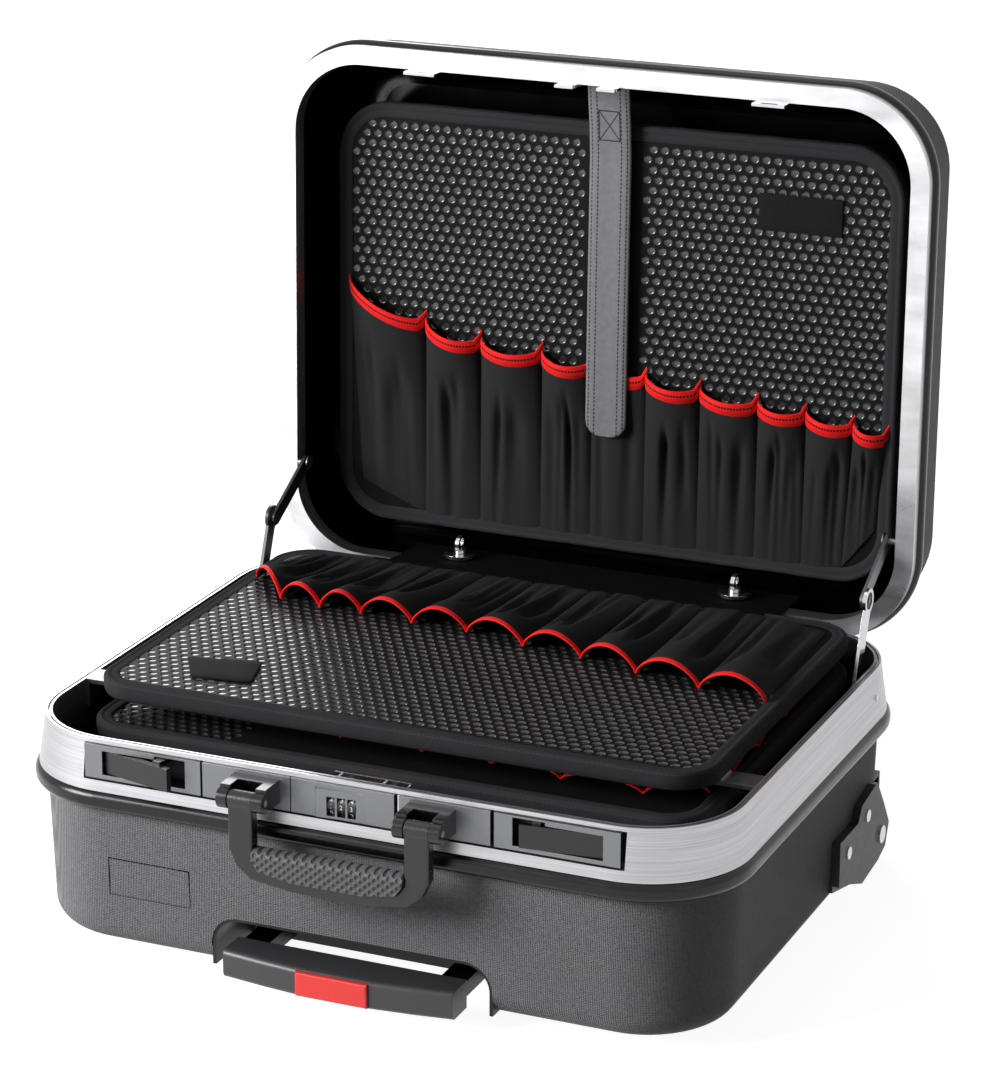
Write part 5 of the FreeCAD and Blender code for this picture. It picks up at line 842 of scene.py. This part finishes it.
def over_pockets(seams, u, v, margin):
    """True where a place is inside the row of mouths, so that no pit shows there."""
    for (u0, v0), (u1, v1) in zip(seams, seams[1:]):
        if u0 <= u <= u1:
            return v < mixed(v0, v1, (u - u0) / (u1 - u0)) - margin
    return v < seams[0 if u < seams[0][0] else -1][1] - margin


def lid_pits(u, v):
    return abs(u) > 24 and not over_pockets(LID_SEAMS, u, v, 16)


def lid_shape(i):
    share = i / 9
    if i == UNDER_STRAP:
        return (5.6, 5, 2, 30, 6, 4.5, 9.5)
    return (mixed(15, 11, share), mixed(13, 10, share), 2, 30, mixed(7, 4, share), 4.5, 9.5)


lid_skin = pitted_skin("lid_board_pits", "lid", LID_BOARD, on_lid_board, lid_pits)
lid_binding = binding("lid_board_binding", "lid", LID_BOARD, on_lid_board)
lid_pockets, lid_tape = pocket_row(
    "lid_pockets", "lid", on_lid_board, LID_SEAMS, LID_FLOORS, lid_shape,
    "lid_board_pockets", [],
)

# The middle board
MIDDLE_SEAMS = [
    (-214, 296), (-176.6, 260.5), (-142.2, 254), (-110.1, 254.8), (-68.1, 250.4),
    (-24.9, 249.1), (22.3, 238.8), (68.4, 232.9), (113.9, 220.9), (163.4, 211.3), (213, 205.6),
]
MIDDLE_FLOORS = [
    (-206, 352), (-168, 365), (-134, 365), (-101, 365), (-62, 365),
    (-22, 365), (22, 365), (66, 365), (110, 365), (158, 364), (207, 350),
]
LOW_BINDING = 0.66
MIDDLE_PATCH = [(-162, 94), (-119, 100), (-129, 138), (-181, 126)]


def middle_pits(u, v):
    return over_pockets(MIDDLE_SEAMS, u, v, -16)


def middle_shape(i):
    return (15, 19, 2.2, 6, -3, 0, 6.6)


middle_skin = pitted_skin(
    "middle_board_pits", "middle_board", MIDDLE_BOARD, on_middle_board, middle_pits
)
middle_binding = binding(
    "middle_board_binding", "middle_board", MIDDLE_BOARD, on_middle_board, LOW_BINDING
)
middle_pockets, middle_tape = pocket_row(
    "middle_pockets", "middle_board", on_middle_board, MIDDLE_SEAMS, MIDDLE_FLOORS,
    middle_shape, "middle_board_pockets", [],
)

# The closing lid presses the middle board's pockets down.
# The middle board's pockets and their tape each get a mesh of their own.
for piece in (middle_pockets, middle_tape):
    tuple(on_middle_board(0, 300, SKIN_LIFT))
    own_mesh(piece)

# The lower board
LOWER_SEAMS = [
    (-112, 140), (-50, 95), (11, 94), (62, 93), (114, 87), (173, 85), (212, 104),
]
LOWER_FLOORS = [
    (-100, 300), (-50, 300), (4, 300), (56, 300), (108, 300), (150, 250), (160, 170),
]
LOWER_SIDE = [
    (((216, 130), (214, 192)), ((165, 170), (150, 230)), (8, 13, 2, 6, -2, 0, 6)),
    (((214, 192), (212, 252)), ((150, 230), (150, 280)), (8, 13, 2, 6, -2, 0, 6)),
    (((212, 252), (206, 318)), ((150, 280), (150, 330)), (8, 13, 2, 6, -2, 0, 6)),
]


def lower_pits(u, v):
    return u < -112


def lower_shape(i):
    return (7.5, 12, 2, 6, -2, 0, 6)


lower_skin = pitted_skin("lower_board_pits", "case", LOWER_BOARD, on_lower_board, lower_pits)
lower_binding = binding("lower_board_binding", "case", LOWER_BOARD, on_lower_board)
lower_pockets, lower_tape = pocket_row(
    "lower_pockets", "case", on_lower_board, LOWER_SEAMS, LOWER_FLOORS, lower_shape,
    "lower_board_pockets", LOWER_SIDE,
)


# Hook-and-loop patches: each step of a patch is (share of the way in, height).
PATCH_STEPS = [(0, 1.9), (0, 2.9), (0.03, 3.2), (0.5, 3.4)]
PATCH_PARTS = 6


def patch(name, body, place, corners):
    skin = Skin()
    rows = []
    for inset, high in PATCH_STEPS:
        middle = [sum(c[k] for c in corners) / 4 for k in (0, 1)]
        row = []
        for k in range(4):
            for part in range(PATCH_PARTS):
                side = zip(corners[k], corners[(k + 1) % 4])
                u, v = (mixed(a, b, part / PATCH_PARTS) for a, b in side)
                u, v = mixed(u, middle[0], inset), mixed(v, middle[1], inset)
                row.append(skin.point(place(u, v, high), u, v))
        rows.append(row + row[:1])
    skin.lines(rows)
    skin.faces.append(tuple(rows[-1][:-1]))
    return skin.made(name, body, "pocket_fabric", hook_patch)


patch("lid_board_patch", "lid", on_lid_board, LID_PATCH)
patch("middle_board_patch", "middle_board", on_middle_board, MIDDLE_PATCH)

# The lid's strap: half width, thickness, and its line as (v, w) from its round end up.
STRAP_HALF = 16
STRAP_THICK = 2
STRAP_END = 119
STRAP_ROUND = 11
STRAP_STEP = 5
STRAP_LINE = [
    (STRAP_END, 33.5), (220, 33.2), (330, 33.5), (352, 31.4), (376, 27.6), (395.7, 25),
]


def strap():
    skin = Skin()
    rows = []
    spots = []
    for (v0, w0), (v1, w1) in zip(STRAP_LINE, STRAP_LINE[1:]):
        count = max(int((v1 - v0) / STRAP_STEP), 2)
        spots += [(mixed(v0, v1, k / count), mixed(w0, w1, k / count)) for k in range(count)]
    low = STRAP_LINE[0][1]
    tip = [(STRAP_END + ahead, low) for ahead in (0, 0.6, 2, 4, 7, STRAP_ROUND)]
    spots = tip + [spot for spot in spots if spot[0] > STRAP_END + STRAP_ROUND + 1]
    spots.append(STRAP_LINE[-1])
    for v, w in spots:
        up = min(v - STRAP_END, STRAP_ROUND)
        bow = math.sqrt(max(STRAP_ROUND**2 - (STRAP_ROUND - up) ** 2, 0))
        half = STRAP_HALF - STRAP_ROUND + bow
        row = []
        section = [(-1, 1), (-1, 0.35), (-0.94, 0.02), (-0.7, -0.12), (-0.3, 0.02), (0, 0.05)]
        section += [(-a, b) for a, b in section[-2::-1]]
        for side, depth in section:
            x = side * half
            row.append(skin.point(lid(x, v, w + depth * STRAP_THICK), v, STRAP_HALF + x))
        rows.append(row)
    skin.lines(rows)
    skin.faces.append(tuple(rows[0][::-1]))
    backs = [(row[0], row[-1]) for row in rows]
    for (a, b), (c, d) in zip(backs, backs[1:]):
        skin.faces.append((b, a, c, d))
    piece = skin.made("strap", "lid", "strap_fabric", strap_leather)
    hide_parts("lid_strap")
    return piece


lid_strap = strap()

# The cloth flap over the hinge: the lines of its hem on the middle board and of the rest
# into the lid, as (y, z).
FLAP_HALF = 154
FLAP_COLUMNS = 78
FLAP_STEP = 4
FLAP_HEM = [(357, 14.6), (359, 15.3), (366, 15.1), (371, 15.1), (374.6, 14.2), (375.8, 12.4)]
FLAP_LINE = [
    (376.4, 9.2), (382, 8.2), (389, 7), (396, 5.8), (406, 4.4), (416, 3.2), (430, 2.4),
    (444, 1.9), (452, 1.6),
]


def flap(name, body, line, share):
    skin = Skin()
    rows = []
    chance = random.Random("flap")
    waves = [(chance.uniform(18, 60), chance.uniform(0, 6), chance.uniform(0.2, 0.5))
             for _ in range(5)]
    for i in range(FLAP_COLUMNS):
        x = -FLAP_HALF + i * FLAP_STEP
        lift = sum(size * math.sin(x / length + start) for length, start, size in waves)
        rows.append([skin.point(base(x, y, z + lift * share), x, y) for y, z in line])
    skin.lines(rows)
    return skin.made(name, body, "flap_fabric", flap_fabric)


flap_hem = flap("flap_hem", "middle_board", FLAP_HEM, 0.2)
flap_sheet = flap("flap", None, FLAP_LINE, 0.3)
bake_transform(flap_sheet)
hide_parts("board_flap")

# The combination lock's numbers, round each wheel
WHEEL_PLACES = {1: -8.9, 2: -1.6, 3: 5.7}
WHEEL_SPOT = (3.8, -18)
WHEEL_RADIUS = 8
NUMBER_LIFT = 0.07
NUMBER_HEIGHT = 4.4
NUMBERS = 10


def wheel_numbers(order, x):
    skin = Skin()
    for number in range(NUMBERS):
        words = bpy.data.curves.new("number", "FONT")
        words.body = str(number)
        words.size = NUMBER_HEIGHT
        words.align_x = "CENTER"
        words.align_y = "CENTER"
        holder = bpy.data.objects.new("number", words)
        bpy.context.scene.collection.objects.link(holder)
        graph = bpy.context.evaluated_depsgraph_get()
        mesh = bpy.data.meshes.new_from_object(holder.evaluated_get(graph))
        first = len(skin.points)
        for vertex in mesh.vertices:
            turn = math.radians(360 / NUMBERS * (number - order)) + vertex.co.y / WHEEL_RADIUS
            out = WHEEL_RADIUS + NUMBER_LIFT
            y = WHEEL_SPOT[0] - out * math.cos(turn)
            z = WHEEL_SPOT[1] + out * math.sin(turn)
            skin.point(base(x + vertex.co.x, y, z), vertex.co.x, vertex.co.y)
        skin.faces += [tuple(first + v for v in face.vertices) for face in mesh.polygons]
        bpy.data.objects.remove(holder)
        bpy.data.meshes.remove(mesh)
    return skin.made("numbers_%d" % order, "dial_%d" % order, "number_plastic", number_white)


for order, x in WHEEL_PLACES.items():
    wheel_numbers(order, x)


# Camera, floor and light
CAMERA_TURN = (23.48, 18.64, 0.07)
CAMERA_DISTANCE = 2.5837
CAMERA_TARGET = (0.01473, -0.03999, 0.26507)
FOCAL_PIXELS = 3794.79
IMAGE_HEIGHT = 1080
SENSOR = 36.0


def camera():
    data = bpy.data.cameras.new("camera")
    data.sensor_fit = "AUTO"
    data.sensor_width = SENSOR
    data.lens = FOCAL_PIXELS * SENSOR / IMAGE_HEIGHT
    data.clip_start, data.clip_end = 0.1, 50
    data.dof.use_dof = False
    piece = bpy.data.objects.new("camera", data)
    bpy.context.scene.collection.objects.link(piece)
    side, up, roll = (math.radians(angle) for angle in CAMERA_TURN)
    back = Vector(
        (math.sin(side) * math.cos(up), -math.cos(side) * math.cos(up), math.sin(up))
    )
    piece.location = Vector(CAMERA_TARGET) + back * CAMERA_DISTANCE
    facing = (-back).to_track_quat("-Z", "Y").to_matrix() @ Matrix.Rotation(roll, 3, "Z")
    piece.rotation_mode = "QUATERNION"
    piece.rotation_quaternion = facing.to_quaternion()
    bpy.context.scene.camera = piece


def lamp(name, place, target, size, power):
    data = bpy.data.lights.new(name, "AREA")
    data.shape = "RECTANGLE"
    data.size, data.size_y = size
    data.energy = power
    piece = bpy.data.objects.new(name, data)
    bpy.context.scene.collection.objects.link(piece)
    piece.location = place
    piece.rotation_mode = "QUATERNION"
    aim = Vector(target) - piece.location
    piece.rotation_quaternion = aim.to_track_quat("-Z", "Y")


# Each lamp: name, place, what it is aimed at, size and watts.
LAMPS = [
    ("key", (-1.85, -1.75, 1.2), (0, 0, 0.25), (1.2, 1.2), 108),
    ("rim", (-1.9, 2.6, 1.25), (0, 0, 0.25), (1.4, 1.2), 30),
    ("top", (-0.3, 0.2, 2.6), (0, 0, 0.2), (1.6, 1.2), 5),
    ("fill", (2.2, -1.2, 1.2), (0, 0, 0.25), (0.9, 1.4), 1.4),
]


def seen_directly(tree):
    """1 for rays that show the background: from the camera, off gloss and through glass."""
    path = tree.nodes.new("ShaderNodeLightPath")
    found = path.outputs["Is Camera Ray"]
    for word in ("Is Glossy Ray", "Is Transmission Ray"):
        larger = tree.nodes.new("ShaderNodeMath")
        larger.operation = "MAXIMUM"
        tree.links.new(found, larger.inputs[0])
        tree.links.new(path.outputs[word], larger.inputs[1])
        found = larger.outputs[0]
    return found


WORLD_LIGHT = 0.05
FLOOR_GLOW = 0.93
FLOOR_COLOUR = (0.5, 0.5, 0.5, 1)
FLOOR_SIZE = 30


def world():
    made = bpy.data.worlds.new("studio")
    bpy.context.scene.world = made
    made.use_nodes = True
    tree = made.node_tree
    room = tree.nodes["Background"]
    room.inputs["Color"].default_value = (1, 1, 1, 1)
    room.inputs["Strength"].default_value = WORLD_LIGHT
    backdrop = tree.nodes.new("ShaderNodeBackground")
    backdrop.inputs["Color"].default_value = (1, 1, 1, 1)
    backdrop.inputs["Strength"].default_value = 1.0
    both = tree.nodes.new("ShaderNodeMixShader")
    tree.links.new(seen_directly(tree), both.inputs["Fac"])
    tree.links.new(room.outputs[0], both.inputs[1])
    tree.links.new(backdrop.outputs[0], both.inputs[2])
    tree.links.new(both.outputs[0], tree.nodes["World Output"].inputs["Surface"])


def floor():
    mesh = bpy.data.meshes.new("floor")
    half = FLOOR_SIZE / 2
    corners = [(-half, -half, 0), (half, -half, 0), (half, half, 0), (-half, half, 0)]
    mesh.from_pydata(corners, [], [(0, 1, 2, 3)])
    piece = bpy.data.objects.new("floor", mesh)
    bpy.context.scene.collection.objects.link(piece)
    made = bpy.data.materials.new("floor")
    made.use_nodes = True
    tree = made.node_tree
    tree.nodes.remove(tree.nodes["Principled BSDF"])
    matt = tree.nodes.new("ShaderNodeBsdfDiffuse")
    matt.inputs["Color"].default_value = FLOOR_COLOUR
    glow = tree.nodes.new("ShaderNodeEmission")
    strength = tree.nodes.new("ShaderNodeMath")
    strength.operation = "MULTIPLY"
    strength.inputs[1].default_value = FLOOR_GLOW
    tree.links.new(seen_directly(tree), strength.inputs[0])
    tree.links.new(strength.outputs[0], glow.inputs["Strength"])
    both = tree.nodes.new("ShaderNodeAddShader")
    tree.links.new(matt.outputs[0], both.inputs[0])
    tree.links.new(glow.outputs[0], both.inputs[1])
    tree.links.new(both.outputs[0], tree.nodes["Material Output"].inputs["Surface"])
    mesh.materials.append(made)


camera()
world()
floor()
for lamp_facts in LAMPS:
    lamp(*lamp_facts)
bpy.context.scene.view_settings.view_transform = "Standard"
